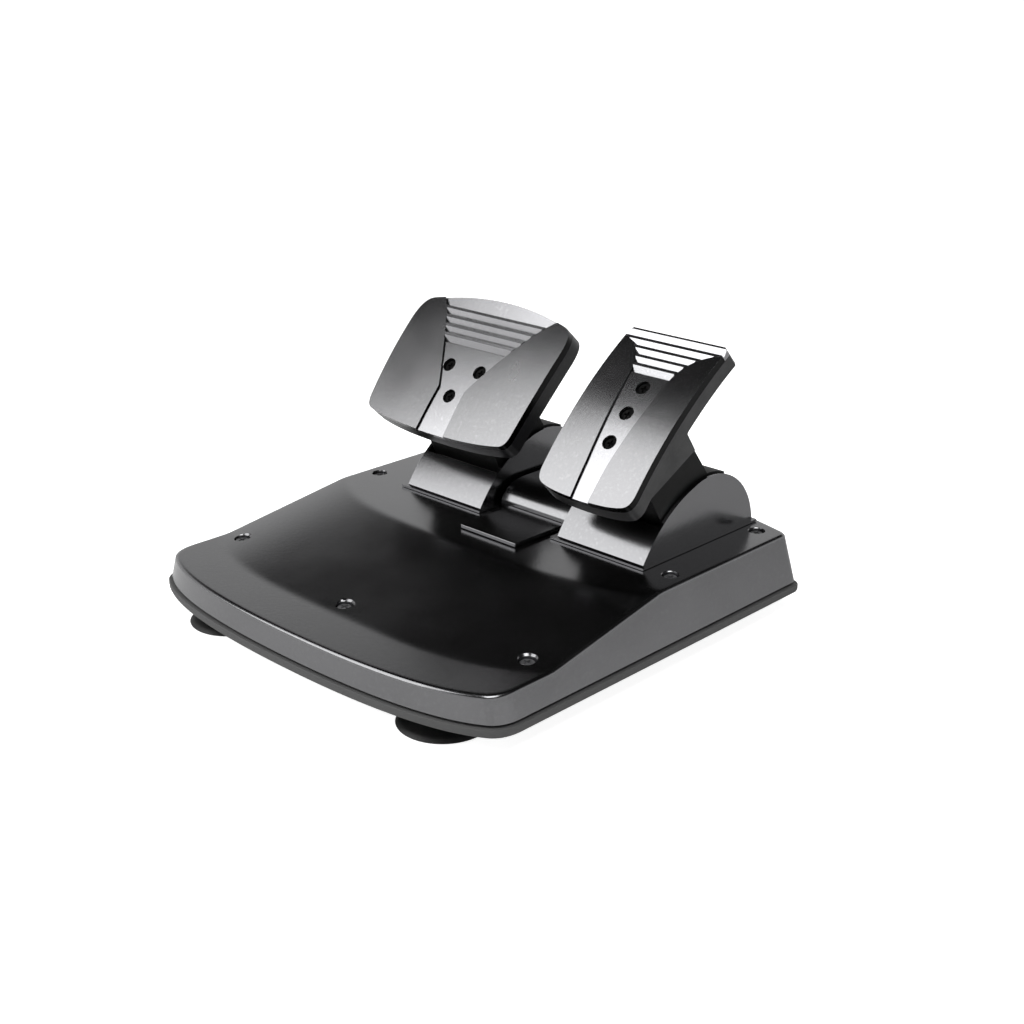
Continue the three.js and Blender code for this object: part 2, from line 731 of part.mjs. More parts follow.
function toothedSector(x0) {
  const pitchR = (GEAR_MODULE * SECTOR_TEETH) / 2;
  const step = 360 / SECTOR_TEETH;
  const first = SENSOR_TURN - 2 * step;
  const count = 7;
  const rootR = pitchR - 1.2 * GEAR_MODULE;
  const last = first + (count - 1) * step;
  const web = sideView([PIVOT, ...arc(PIVOT, rootR, first - 4, last + 4, 12)], x0, x0 + GEAR_WIDTH);
  const teeth = Array.from({ length: count }, (_, i) => {
    const turn = THREE.MathUtils.degToRad(first + i * step);
    return sideView(moved(gearTooth(pitchR, turn, TOOTH_THICKNESS), PIVOT), x0, x0 + GEAR_WIDTH);
  });
  const body = union([web, crosswise(HUB_R, x0, x0 + GEAR_WIDTH), ...teeth]);
  return body.subtract(crosswise(SHAFT_R + GAP, x0 - 1, x0 + GEAR_WIDTH + 1));
}

function sensorCentre() {
  const distance = (GEAR_MODULE * (SECTOR_TEETH + PINION_TEETH)) / 2;
  const turn = THREE.MathUtils.degToRad(SENSOR_TURN);
  return [PIVOT[0] + distance * Math.cos(turn), PIVOT[1] + distance * Math.sin(turn)];
}

// The pinion turns with the sensor's own spindle, which runs in the sensor body.
function sensorPinion(x0, spindle) {
  const centre = sensorCentre();
  const pitchR = (GEAR_MODULE * PINION_TEETH) / 2;
  const step = (2 * Math.PI) / PINION_TEETH;
  const facing = THREE.MathUtils.degToRad(SENSOR_TURN + 180) + step / 2;
  const teeth = Array.from({ length: PINION_TEETH }, (_, i) => {
    const tooth = gearTooth(pitchR, facing + i * step, TOOTH_THICKNESS);
    return sideView(moved(tooth, centre), x0, x0 + GEAR_WIDTH);
  });
  const core = crosswise(pitchR - 1.2 * GEAR_MODULE, x0, x0 + GEAR_WIDTH, centre);
  return union([core, crosswise(2.5, ...spindle, centre, 16), ...teeth]);
}

function sensorBody(x0, x1) {
  const centre = sensorCentre();
  const [y, z] = centre;
  const can = crosswise(8, x0, x1, centre, 24);
  const tags = box([x0 + 2, x1 - 2], [y - 14, y - 2], [z - 4, z - 2.6]);
  return can.add(tags).subtract(crosswise(2.5 + RUNNING_CLEARANCE, x0 - 1, x1 + 1, centre, 16));
}

function sensorBracket() {
  const [y, z] = sensorCentre();
  const [x0, x1] = BRACKET_X;
  const upright = box([x0, x1], [y - 9, y + 9], [PLATE_TOP + GAP, z + 9.5]);
  const foot = box([x0 - 3, x1 + 3], [y - 9, y + 9], [PLATE_TOP + GAP, PLATE_TOP + 2.5]);
  return upright.add(foot);
}

// ---- Return springs and stops -------------------------------------------------------------
class Helix extends THREE.Curve {
  constructor(x, y, z0, z1, radius, turns) {
    super();
    Object.assign(this, { x, y, z0, z1, radius, turns });
  }

  getPoint(t) {
    const turn = 2 * Math.PI * this.turns * t;
    return new THREE.Vector3(
      this.x + this.radius * Math.cos(turn),
      this.y + this.radius * Math.sin(turn),
      this.z0 + (this.z1 - this.z0) * t,
    );
  }
}

function returnSpring({ centre }) {
  const wire = 0.8;
  const path = new Helix(centre - 8, SPRING_Y, PLATE_TOP + GAP + wire, LEVER_UNDER - GAP - wire, 5, 5);
  const section = new THREE.Shape(circle(wire, 5).map(([a, b]) => new THREE.Vector2(a, b)));
  const geometry = new THREE.ExtrudeGeometry(section, { steps: 56, extrudePath: path, bevelEnabled: false });
  return facingOut(geometry);
}

// A rubber stop under the lever, a little below where the lever comes down to.
function pedalStop({ centre, travel }) {
  const turn = THREE.MathUtils.degToRad(travel);
  const reach = STOP_Y - PIVOT[0];
  const drop = reach * Math.tan(turn) + (PIVOT[1] - LEVER_UNDER) / Math.cos(turn);
  const top = PIVOT[1] - drop - 1.6;
  return upright(centre + 8, STOP_Y, 4, PLATE_TOP + GAP, top, 16);
}

function addPedal(pedal, inner) {
  const { name, centre, holes } = pedal;
  const [left, right] = facePlates(pedal);
  piece(name + "_arm", pedalArm(pedal), BLACK_PLASTIC);
  piece(name + "_shell", pedalShell(pedal), DARK_PAINT);
  piece(name + "_left_plate", left, SILVER_PAINT);
  piece(name + "_right_plate", right, SILVER_PAINT);
  piece(name + "_insert", ribbedInsert(pedal), BRIGHT_INSERT);
  holes.forEach((at, i) => piece(name + "_face_screw_" + (i + 1), faceScrew(pedal, at), BLACK_PLASTIC));
  const [left0, right0] = [centre - HOUSING_HALF, centre + HOUSING_HALF];
  piece(name + "_left_bush", bush(left0, left0 + LUG_WALL), BRASS);
  piece(name + "_right_bush", bush(right0 - LUG_WALL, right0), BRASS);
  piece(name + "_shaft", crosswise(SHAFT_R, ...inner.shaft), STEEL);
  piece(name + "_toothed_sector", toothedSector(inner.sector), BLACK_PLASTIC);
  piece(name + "_sensor", sensorBody(...inner.sensor), BLACK_PLASTIC);
  piece(name + "_sensor_pinion", sensorPinion(inner.sector, inner.spindle), BLACK_PLASTIC);
  piece(name + "_return_spring", returnSpring(pedal), STEEL);
  piece(name + "_stop", pedalStop(pedal), RUBBER);
}

addPedal(BRAKE, {
  shaft: [BRAKE_X - HOUSING_HALF, -9.5],
  sector: -15.5,
  sensor: [-8, BRACKET_X[0] - GAP],
  spindle: [-15.5, -0.5],
});
addPedal(ACCELERATOR, {
  shaft: [23.8, ACCELERATOR_X + HOUSING_HALF],
  sector: 24.8,
  sensor: [BRACKET_X[1] + GAP, 22.3],
  spindle: [14.8, 29.8],
});
piece("sensor_bracket", sensorBracket(), BLACK_PLASTIC);

export default pedalUnit;
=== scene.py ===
"""Looks of a two-pedal floor unit for driving games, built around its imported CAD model.

Sizes are in millimetres until a piece is finished, and in metres from there on.
"""

from __future__ import annotations

import json
import logging
import math
from dataclasses import dataclass, field
from enum import Enum

import bmesh  # noqa: E402
import bpy  # noqa: E402
from mathutils import Matrix, Vector  # noqa: E402

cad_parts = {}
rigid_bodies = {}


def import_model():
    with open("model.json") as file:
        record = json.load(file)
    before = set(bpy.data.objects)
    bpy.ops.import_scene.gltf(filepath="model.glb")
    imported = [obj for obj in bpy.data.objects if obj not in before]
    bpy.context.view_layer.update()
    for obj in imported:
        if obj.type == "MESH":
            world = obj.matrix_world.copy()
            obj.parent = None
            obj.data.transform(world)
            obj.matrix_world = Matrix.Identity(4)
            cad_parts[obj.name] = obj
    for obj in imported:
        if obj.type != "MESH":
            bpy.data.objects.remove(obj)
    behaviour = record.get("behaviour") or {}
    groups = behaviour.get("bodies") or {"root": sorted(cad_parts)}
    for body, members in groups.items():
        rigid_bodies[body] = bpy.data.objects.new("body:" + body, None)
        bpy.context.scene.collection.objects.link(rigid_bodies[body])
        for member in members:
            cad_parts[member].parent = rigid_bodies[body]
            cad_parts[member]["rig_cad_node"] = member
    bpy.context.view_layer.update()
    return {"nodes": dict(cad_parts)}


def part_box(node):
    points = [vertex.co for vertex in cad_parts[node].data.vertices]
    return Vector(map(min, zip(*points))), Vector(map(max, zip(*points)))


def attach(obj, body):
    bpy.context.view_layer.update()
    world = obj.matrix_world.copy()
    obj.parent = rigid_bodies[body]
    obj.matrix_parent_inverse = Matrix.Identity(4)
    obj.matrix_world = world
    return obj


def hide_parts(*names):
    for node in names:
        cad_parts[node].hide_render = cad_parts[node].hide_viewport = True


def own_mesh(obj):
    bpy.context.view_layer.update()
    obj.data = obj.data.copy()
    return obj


MM = 0.001  # metres in a millimetre
GAP = 0.3  # clearance between neighbouring pieces, in millimetres
MERGE = 1e-4  # points of a new solid closer than this are one
LOG = logging.getLogger("pedal_unit")

Point = tuple[float, float]
Outline = list[Point]
Colour = tuple[float, float, float]


# ---- Outlines ------------------------------------------------------------------------------
def bezier(start: Point, control: Point, end: Point, steps: int) -> Outline:
    """Points along a quadratic curve.

    Args:
        start: First point.
        control: The point that the curve bends towards.
        end: Last point.
        steps: Number of stretches.

    Returns:
        steps + 1 points.
    """
    points = []
    for i in range(steps + 1):
        t = i / steps
        weights = ((1 - t) ** 2, 2 * t * (1 - t), t * t)
        points.append(tuple(sum(w * p[k] for w, p in zip(weights, (start, control, end))) for k in (0, 1)))
    return points


def arc(centre: Point, radius: float, start: float, end: float, steps: int) -> Outline:
    """Points along a circular arc, with its angles in degrees.

    Args:
        centre: Centre of the circle.
        radius: Radius of the circle.
        start: Angle of the first point.
        end: Angle of the last point.
        steps: Number of stretches.

    Returns:
        steps + 1 points.
    """
    turns = [math.radians(start + (end - start) * i / steps) for i in range(steps + 1)]
    return [(centre[0] + radius * math.cos(t), centre[1] + radius * math.sin(t)) for t in turns]


def circle(radius: float, sides: int, centre: Point = (0.0, 0.0)) -> Outline:
    """Points round a whole circle, without the closing one.

    Args:
        radius: Radius of the circle.
        sides: Number of points.
        centre: Centre of the circle.

    Returns:
        The points, anticlockwise.
    """
    return arc(centre, radius, 0, 360, sides)[:-1]


def mirrored(half: Outline) -> Outline:
    """A whole outline from its right half, which starts and ends on the middle line.

    Args:
        half: Points of the right half.

    Returns:
        The right half, then the left one without its two middle points.
    """
    return half + [(-u, v) for u, v in reversed(half[1:-1])]


# ---- Solids --------------------------------------------------------------------------------
class Operation(Enum):
    """How one solid acts on another."""

    JOIN = "UNION"
    CUT = "DIFFERENCE"
    MEET = "INTERSECT"


# Frames that stand an outline up in Y and Z, or in Z and X, or lay an upright axis along X.
SIDE = Matrix(((0, 0, 1, 0), (1, 0, 0, 0), (0, 1, 0, 0), (0, 0, 0, 1)))
REAR = Matrix(((0, 1, 0, 0), (0, 0, 1, 0), (1, 0, 0, 0), (0, 0, 0, 1)))
ALONG_X = Matrix.Rotation(math.radians(90), 4, "Y")


class Solid:
    """A closed mesh in millimetres, cut and joined with others until it is a piece."""

    BAR_SIDES = 48
    AXIS_RADIUS = 1e-3  # stands for zero, so that a point on the axis is still a ring
    WELD = 2e-3  # points closer than this are merged before edges are rounded
    FLAT_ANGLE = 0.004  # faces that turn by less than this, in radians, are one
    FLAT_WEIGHT = 80  # how strongly large faces set the shading of rounded edges

    def __init__(self, mesh: bpy.types.Mesh) -> None:
        """Puts the mesh in an object of its own.

        Args:
            mesh: A closed mesh, in millimetres.
        """
        self.thing = bpy.data.objects.new("solid", mesh)
        bpy.context.scene.collection.objects.link(self.thing)

    @classmethod
    def from_faces(cls, points: list[Vector], faces: list[list[int]]) -> Solid:
        """A solid from its points and faces, turned to face out.

        Args:
            points: The corners.
            faces: Indices of each face's corners.

        Returns:
            The solid.
        """
        mesh = bpy.data.meshes.new("solid")
        mesh.from_pydata(points, [], faces)
        shape = bmesh.new()
        shape.from_mesh(mesh)
        bmesh.ops.remove_doubles(shape, verts=shape.verts, dist=MERGE)
        bmesh.ops.recalc_face_normals(shape, faces=shape.faces)
        shape.to_mesh(mesh)
        shape.free()
        return cls(mesh)

    @classmethod
    def points(cls, points: list[Vector]) -> Solid:
        """Loose points, for a tree to build on.

        Args:
            points: The points.

        Returns:
            The solid, with no faces yet.
        """
        mesh = bpy.data.meshes.new("points")
        mesh.from_pydata(points, [], [])
        return cls(mesh)

    @classmethod
    def bar(cls, x: Point, radius: float, at: Point, chamfer: float = 0.0) -> Solid:
        """A round bar along X.

        Args:
            x: Its two ends.
            radius: Its radius.
            at: The (y, z) of its axis.
            chamfer: Width of the chamfer at each end.

        Returns:
            The solid.
        """
        profile = [
            (0, x[0]), (radius - chamfer, x[0]), (radius, x[0] + chamfer),
            (radius, x[1] - chamfer), (radius - chamfer, x[1]), (0, x[1]),
        ]
        return cls.lathe(profile, cls.BAR_SIDES, Vector((0, *at)), ALONG_X)

    @classmethod
    def rings(cls, rings: list[list[Vector]]) -> Solid:
        """A solid through rings of points, capped at both ends.

        Args:
            rings: The rings, each with the same number of points.

        Returns:
            The solid.
        """
        count, last = len(rings[0]), len(rings) - 1
        faces = cls.bands(count, [(r, r + 1) for r in range(last)])
        faces += [list(range(count))[::-1], list(range(last * count, (last + 1) * count))]
        return cls.from_faces([p for ring in rings for p in ring], faces)

    @staticmethod
    def bands(count: int, pairs: list[tuple[int, int]]) -> list[list[int]]:
        """Faces between rings of points that lie one after another.

        Args:
            count: Number of points in a ring.
            pairs: Which ring each band runs from, and which to.

        Returns:
            The faces.
        """
        faces = []
        for first, second in pairs:
            low, high = first * count, second * count
            for i in range(count):
                j = (i + 1) % count
                faces.append([low + i, low + j, high + j, high + i])
        return faces

    @classmethod
    def extruded(cls, outline: Outline, low: float, high: float, place: Matrix) -> Solid:
        """An outline given a depth along the third axis of a placed frame.

        Args:
            outline: The outline, in the frame's first two axes.
            low: Where the depth starts.
            high: Where it ends.
            place: The frame.

        Returns:
            The solid.
        """
        return cls.rings([[place @ Vector((a, b, w)) for a, b in outline] for w in (low, high)])

    @classmethod
    def side_view(cls, outline: Outline, x0: float, x1: float) -> Solid:
        """A solid from its side view.

        Args:
            outline: Points (y, z).
            x0: Where it starts.
            x1: Where it ends.

        Returns:
            The solid.
        """
        return cls.extruded(outline, x0, x1, SIDE)

    @classmethod
    def top_view(cls, outline: Outline, z0: float, z1: float) -> Solid:
        """A solid from its view from above.

        Args:
            outline: Points (x, y).
            z0: Its bottom.
            z1: Its top.

        Returns:
            The solid.
        """
        return cls.extruded(outline, z0, z1, Matrix())

    @classmethod
    def block(cls, x: Point, y: Point, z: Point) -> Solid:
        """A box between two values on each axis.

        Args:
            x: Its two ends along X.
            y: Its two ends along Y.
            z: Its two ends along Z.

        Returns:
            The solid.
        """
        return cls.top_view([(x[0], y[0]), (x[1], y[0]), (x[1], y[1]), (x[0], y[1])], *z)

    @classmethod
    def lathe(cls, profile: Outline, sides: int, at: Vector, place: Matrix = Matrix()) -> Solid:
        """A closed profile of (radius, height) points turned about an upright axis.

        Args:
            profile: Points from the axis round and back to it.
            sides: Number of sides.
            at: Foot of the axis.
            place: Turns the upright axis another way.

        Returns:
            The solid.
        """
        rings = []
        for radius, height in profile:
            ring = [Vector((a, b, height)) for a, b in circle(max(radius, cls.AXIS_RADIUS), sides)]
            rings.append([place @ p + at for p in ring])
        return cls.rings(rings)

    def _work(self, tools: tuple[Solid, ...], operation: Operation) -> Solid:
        """Lets other solids act on this one, and uses them up.

        Args:
            tools: The other solids.
            operation: What they do.

        Returns:
            This solid.
        """
        for tool in tools:
            step = self.thing.modifiers.new("work", "BOOLEAN")
            step.operation = operation.value
            step.solver = "EXACT"
            step.object = tool.thing
        self.apply()
        for tool in tools:
            mesh = tool.thing.data
            bpy.data.objects.remove(tool.thing)
            bpy.data.meshes.remove(mesh)
        return self

    def apply(self) -> None:
        """Makes the result of all modifiers the solid's own mesh."""
        graph = bpy.context.evaluated_depsgraph_get()
        made = bpy.data.meshes.new_from_object(self.thing.evaluated_get(graph))
        self.thing.modifiers.clear()
        old, self.thing.data = self.thing.data, made
        bpy.data.meshes.remove(old)

    def join(self, *others: Solid) -> Solid:
        """Adds other solids to this one, which it returns."""
        return self._work(others, Operation.JOIN)

    def cut(self, *others: Solid) -> Solid:
        """Takes other solids away from this one, which it returns."""
        return self._work(others, Operation.CUT)

    def meet(self, other: Solid) -> Solid:
        """Keeps only what lies in another solid too, in this one, which it returns."""
        return self._work((other,), Operation.MEET)

    def cleaned(self) -> Solid:
        """Merges doubled points and joins faces that lie in one plane.

        Returns:
            This solid.
        """
        shape = bmesh.new()
        shape.from_mesh(self.thing.data)
        bmesh.ops.remove_doubles(shape, verts=shape.verts, dist=self.WELD)
        bmesh.ops.dissolve_degenerate(shape, edges=shape.edges, dist=self.WELD / 2)
        bmesh.ops.dissolve_limit(
            shape, angle_limit=self.FLAT_ANGLE, verts=shape.verts, edges=shape.edges, delimit={"NORMAL"}
        )
        shape.to_mesh(self.thing.data)
        shape.free()
        return self

    def softened(self, width: float, segments: int = 2, angle: float = 34.0) -> Solid:
        """Rounds every edge that turns by more than an angle.

        Args:
            width: How far the rounding reaches on either side of the edge.
            segments: Number of stretches across it.
            angle: The least turn, in degrees.

        Returns:
            This solid.
        """
        self.cleaned()
        step = self.thing.modifiers.new("soften", "BEVEL")
        step.width = width
        step.segments = segments
        step.limit_method = "ANGLE"
        step.angle_limit = math.radians(angle)
        step.use_clamp_overlap = True
        step.miter_outer = "MITER_ARC"
        self.apply()
        return self

    def piece(self, name: str, finish: Finish, body: str, *nodes: str, sharp: float = 40.0) -> None:
        """Makes this the finished piece that stands for some CAD nodes.

        Args:
            name: The piece's name.
            finish: What it is made of.
            body: The CAD body it rides on.
            *nodes: The CAD nodes it stands for.
            sharp: Edges that turn by more than this many degrees stay crisp.
        """
        mesh = self.thing.data
        mesh.transform(Matrix.Scale(MM, 4))
        for polygon in mesh.polygons:
            polygon.use_smooth = True
        mesh.set_sharp_from_angle(angle=math.radians(sharp))
        weigh = self.thing.modifiers.new("weigh", "WEIGHTED_NORMAL")
        weigh.keep_sharp = True
        weigh.weight = self.FLAT_WEIGHT
        self.apply()
        self.thing.name = name
        self.thing.data.name = name
        dress(self.thing, finish)
        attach(self.thing, body)
        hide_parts(*nodes)
        LOG.info("%s: %d faces", name, len(self.thing.data.polygons))


def dress(thing: bpy.types.Object, finish: Finish) -> None:
    """Gives an object one finish.

    Args:
        thing: A piece or a CAD node.
        finish: What it is made of.
    """
    if "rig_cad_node" in thing:
        for entry in thing.material_slots:
            entry.link = "OBJECT"
            entry.material = finish.material()
        return
    thing.data.materials.clear()
    thing.data.materials.append(finish.material())


# ---- Node helpers --------------------------------------------------------------------------
def feed(tree: bpy.types.NodeTree, socket: bpy.types.NodeSocket, value: object) -> None:
    """Gives a socket its value.

    Args:
        tree: The tree that holds it.
        socket: The socket.
        value: Another socket to link to it, or a plain value.
    """
    if isinstance(value, bpy.types.NodeSocket):
        tree.links.new(value, socket)
    else:
        socket.default_value = value


def worked(
    tree: bpy.types.NodeTree, operation: str, *values: object, clamp: bool = False
) -> bpy.types.NodeSocket:
    """Works on values with a Math node.

    Args:
        tree: The tree.
        operation: The node's operation.
        *values: Sockets or plain numbers.
        clamp: Whether the result stays between 0 and 1.

    Returns:
        The socket that gives the result.
    """
    node = tree.nodes.new("ShaderNodeMath")
    node.operation = operation
    node.use_clamp = clamp
    for socket, value in zip(node.inputs, values):
        feed(tree, socket, value)
    return node.outputs[0]


def spread(
    tree: bpy.types.NodeTree, value: bpy.types.NodeSocket, low: object, high: object
) -> bpy.types.NodeSocket:
    """Spreads a part of a value's range over 0 to 1.

    Args:
        tree: The tree.
        value: The socket that gives the value.
        low: What becomes 0, as a number or a socket.
        high: What becomes 1, as a number or a socket.

    Returns:
        The socket that gives the result.
    """
    node = tree.nodes.new("ShaderNodeMapRange")
    feed(tree, node.inputs["Value"], value)
    feed(tree, node.inputs["From Min"], low)
    feed(tree, node.inputs["From Max"], high)
    return node.outputs["Result"]


# ---- Shader node groups --------------------------------------------------------------------
class Shelf:
    """Makes each shader node group once and hands it out by name."""

    # How many features each texture has in a metre.
    GRAIN_SCALE = 620.0
    CELL_SCALE = 480.0
    CLOUD_SCALE = 28.0
    WEAR_SCALE = 90.0
    SPECK_SCALE = 340.0
    # Where in a texture's range a mask starts, and where it is full.
    FLECK_SPAN = (0.55, 0.78)
    SPECK_SPAN = (0.5, 0.72)
    GRAIN_SHARE = 0.6  # the noise's part in the grain's height, beside the cells
    SHARP_EDGE = 0.6  # the pointiness at which an edge is fully worn
    FRONT = (0.0, -0.7, 0.714)  # the way that the pedals' fronts look

    @staticmethod
    def _tree(name: str, inputs: dict[str, float], outputs: dict[str, str]) -> tuple:
        """Starts a group with its named inputs and outputs.

        Args:
            name: The group's name.
            inputs: The first value of each input, a number.
            outputs: The type of each output's socket.

        Returns:
            The tree, and the nodes that give its inputs and take its outputs.
        """
        tree = bpy.data.node_groups.new(name, "ShaderNodeTree")
        for label, value in inputs.items():
            socket = tree.interface.new_socket(label, in_out="INPUT", socket_type="NodeSocketFloat")
            socket.default_value = value
        for label, kind in outputs.items():
            tree.interface.new_socket(label, in_out="OUTPUT", socket_type=kind)
        return tree, tree.nodes.new("NodeGroupInput"), tree.nodes.new("NodeGroupOutput")

    @staticmethod
    def _noise(
        tree: bpy.types.NodeTree, place: bpy.types.NodeSocket, scale: float, detail: float
    ) -> bpy.types.NodeSocket:
        """Adds a noise texture.

        Args:
            tree: The tree.
            place: The socket that gives the place on the piece.
            scale: How many features it has in a metre.
            detail: How many finer layers it has.

        Returns:
            The socket that gives its value.
        """
        noise = tree.nodes.new("ShaderNodeTexNoise")
        noise.inputs["Scale"].default_value = scale
        noise.inputs["Detail"].default_value = detail
        feed(tree, noise.inputs["Vector"], place)
        return noise.outputs["Fac"]

    @classmethod
    def grain(cls) -> bpy.types.NodeTree:
        """Fine moulded grain: a height, flecks of paler pigment, and soft clouds.

        Returns:
            The group.
        """
        if "grain" in bpy.data.node_groups:
            return bpy.data.node_groups["grain"]
        outputs = {label: "NodeSocketFloat" for label in ("Height", "Fleck", "Cloud")}
        tree, given, result = cls._tree("grain", {"Scale": 1.0}, outputs)
        place = tree.nodes.new("ShaderNodeTexCoord")
        scaled = tree.nodes.new("ShaderNodeVectorMath")
        scaled.operation = "SCALE"
        feed(tree, scaled.inputs[0], place.outputs["Object"])
        feed(tree, scaled.inputs["Scale"], given.outputs["Scale"])
        fine = cls._noise(tree, scaled.outputs[0], cls.GRAIN_SCALE, 1.5)
        cells = tree.nodes.new("ShaderNodeTexVoronoi")
        cells.inputs["Scale"].default_value = cls.CELL_SCALE
        feed(tree, cells.inputs["Vector"], scaled.outputs[0])
        height = worked(tree, "MULTIPLY_ADD", fine, cls.GRAIN_SHARE, cells.outputs["Distance"])
        feed(tree, result.inputs["Height"], height)
        feed(tree, result.inputs["Fleck"], spread(tree, fine, *cls.FLECK_SPAN))
        feed(tree, result.inputs["Cloud"], cls._noise(tree, scaled.outputs[0], cls.CLOUD_SCALE, 4.0))
        return tree

    @classmethod
    def edge_wear(cls) -> bpy.types.NodeTree:
        """A mask of rubbed edges, broken up by noise.

        Returns:
            The group.
        """
        if "edge_wear" in bpy.data.node_groups:
            return bpy.data.node_groups["edge_wear"]
        tree, given, result = cls._tree(
            "edge_wear", {"Amount": 0.5, "Start": 0.52}, {"Mask": "NodeSocketFloat"}
        )
        shape = tree.nodes.new("ShaderNodeNewGeometry")
        place = tree.nodes.new("ShaderNodeTexCoord")
        noise = cls._noise(tree, place.outputs["Object"], cls.WEAR_SCALE, 5.0)
        edge = spread(tree, shape.outputs["Pointiness"], given.outputs["Start"], cls.SHARP_EDGE)
        broken = worked(tree, "MULTIPLY", edge, noise)
        mask = worked(tree, "MULTIPLY", broken, given.outputs["Amount"], clamp=True)
        feed(tree, result.inputs["Mask"], mask)
        return tree

    @classmethod
    def dust(cls) -> bpy.types.NodeTree:
        """A faint mask of dust on what faces up.

        Returns:
            The group.
        """
        if "dust" in bpy.data.node_groups:
            return bpy.data.node_groups["dust"]
        tree, given, result = cls._tree("dust", {"Amount": 0.1}, {"Mask": "NodeSocketFloat"})
        shape = tree.nodes.new("ShaderNodeNewGeometry")
        split = tree.nodes.new("ShaderNodeSeparateXYZ")
        feed(tree, split.inputs[0], shape.outputs["Normal"])
        place = tree.nodes.new("ShaderNodeTexCoord")
        noise = cls._noise(tree, place.outputs["Object"], cls.SPECK_SCALE, 6.0)
        speck = spread(tree, noise, *cls.SPECK_SPAN)
        upward = worked(tree, "MULTIPLY", split.outputs["Z"], speck, clamp=True)
        feed(tree, result.inputs["Mask"], worked(tree, "MULTIPLY", upward, given.outputs["Amount"]))
        return tree

    @classmethod
    def facing(cls) -> bpy.types.NodeTree:
        """A mask of the faces that look the way the pedals' fronts do.

        Returns:
            The group.
        """
        if "facing" in bpy.data.node_groups:
            return bpy.data.node_groups["facing"]
        tree, given, result = cls._tree(
            "facing", {"Least": 0.84, "Most": 0.92}, {"Mask": "NodeSocketFloat"}
        )
        place = tree.nodes.new("ShaderNodeTexCoord")
        along = tree.nodes.new("ShaderNodeVectorMath")
        along.operation = "DOT_PRODUCT"
        along.inputs[1].default_value = cls.FRONT
        feed(tree, along.inputs[0], place.outputs["Normal"])
        mask = spread(tree, along.outputs["Value"], given.outputs["Least"], given.outputs["Most"])
        feed(tree, result.inputs["Mask"], mask)
        return tree


# ---- Finishes ------------------------------------------------------------------------------
class Slot(Enum):
    """The record's material slots."""

    COVER = "cover_plastic"
    TRAY = "tray_plastic"
    RUBBER = "rubber"
    SCREW = "screw_steel"
    BOARD = "circuit_board"
    INNER = "inner_plastic"
    BUSH = "bush_brass"
    SHELL = "shell_plastic"
    PLATE = "face_plate"
    INSERT = "insert_strip"


COAT_ROUGHNESS = 0.12
DUST_COLOUR = (0.45, 0.43, 0.4)
CLOUD_SPAN = (0.3, 0.7)  # the part of the cloud noise that changes the roughness
PALE_GAIN, PALE_LIFT = 1.7, 0.02  # how a fleck's colour comes from the finish's own
DEEP_GAIN = 0.82  # how dark the clouds are


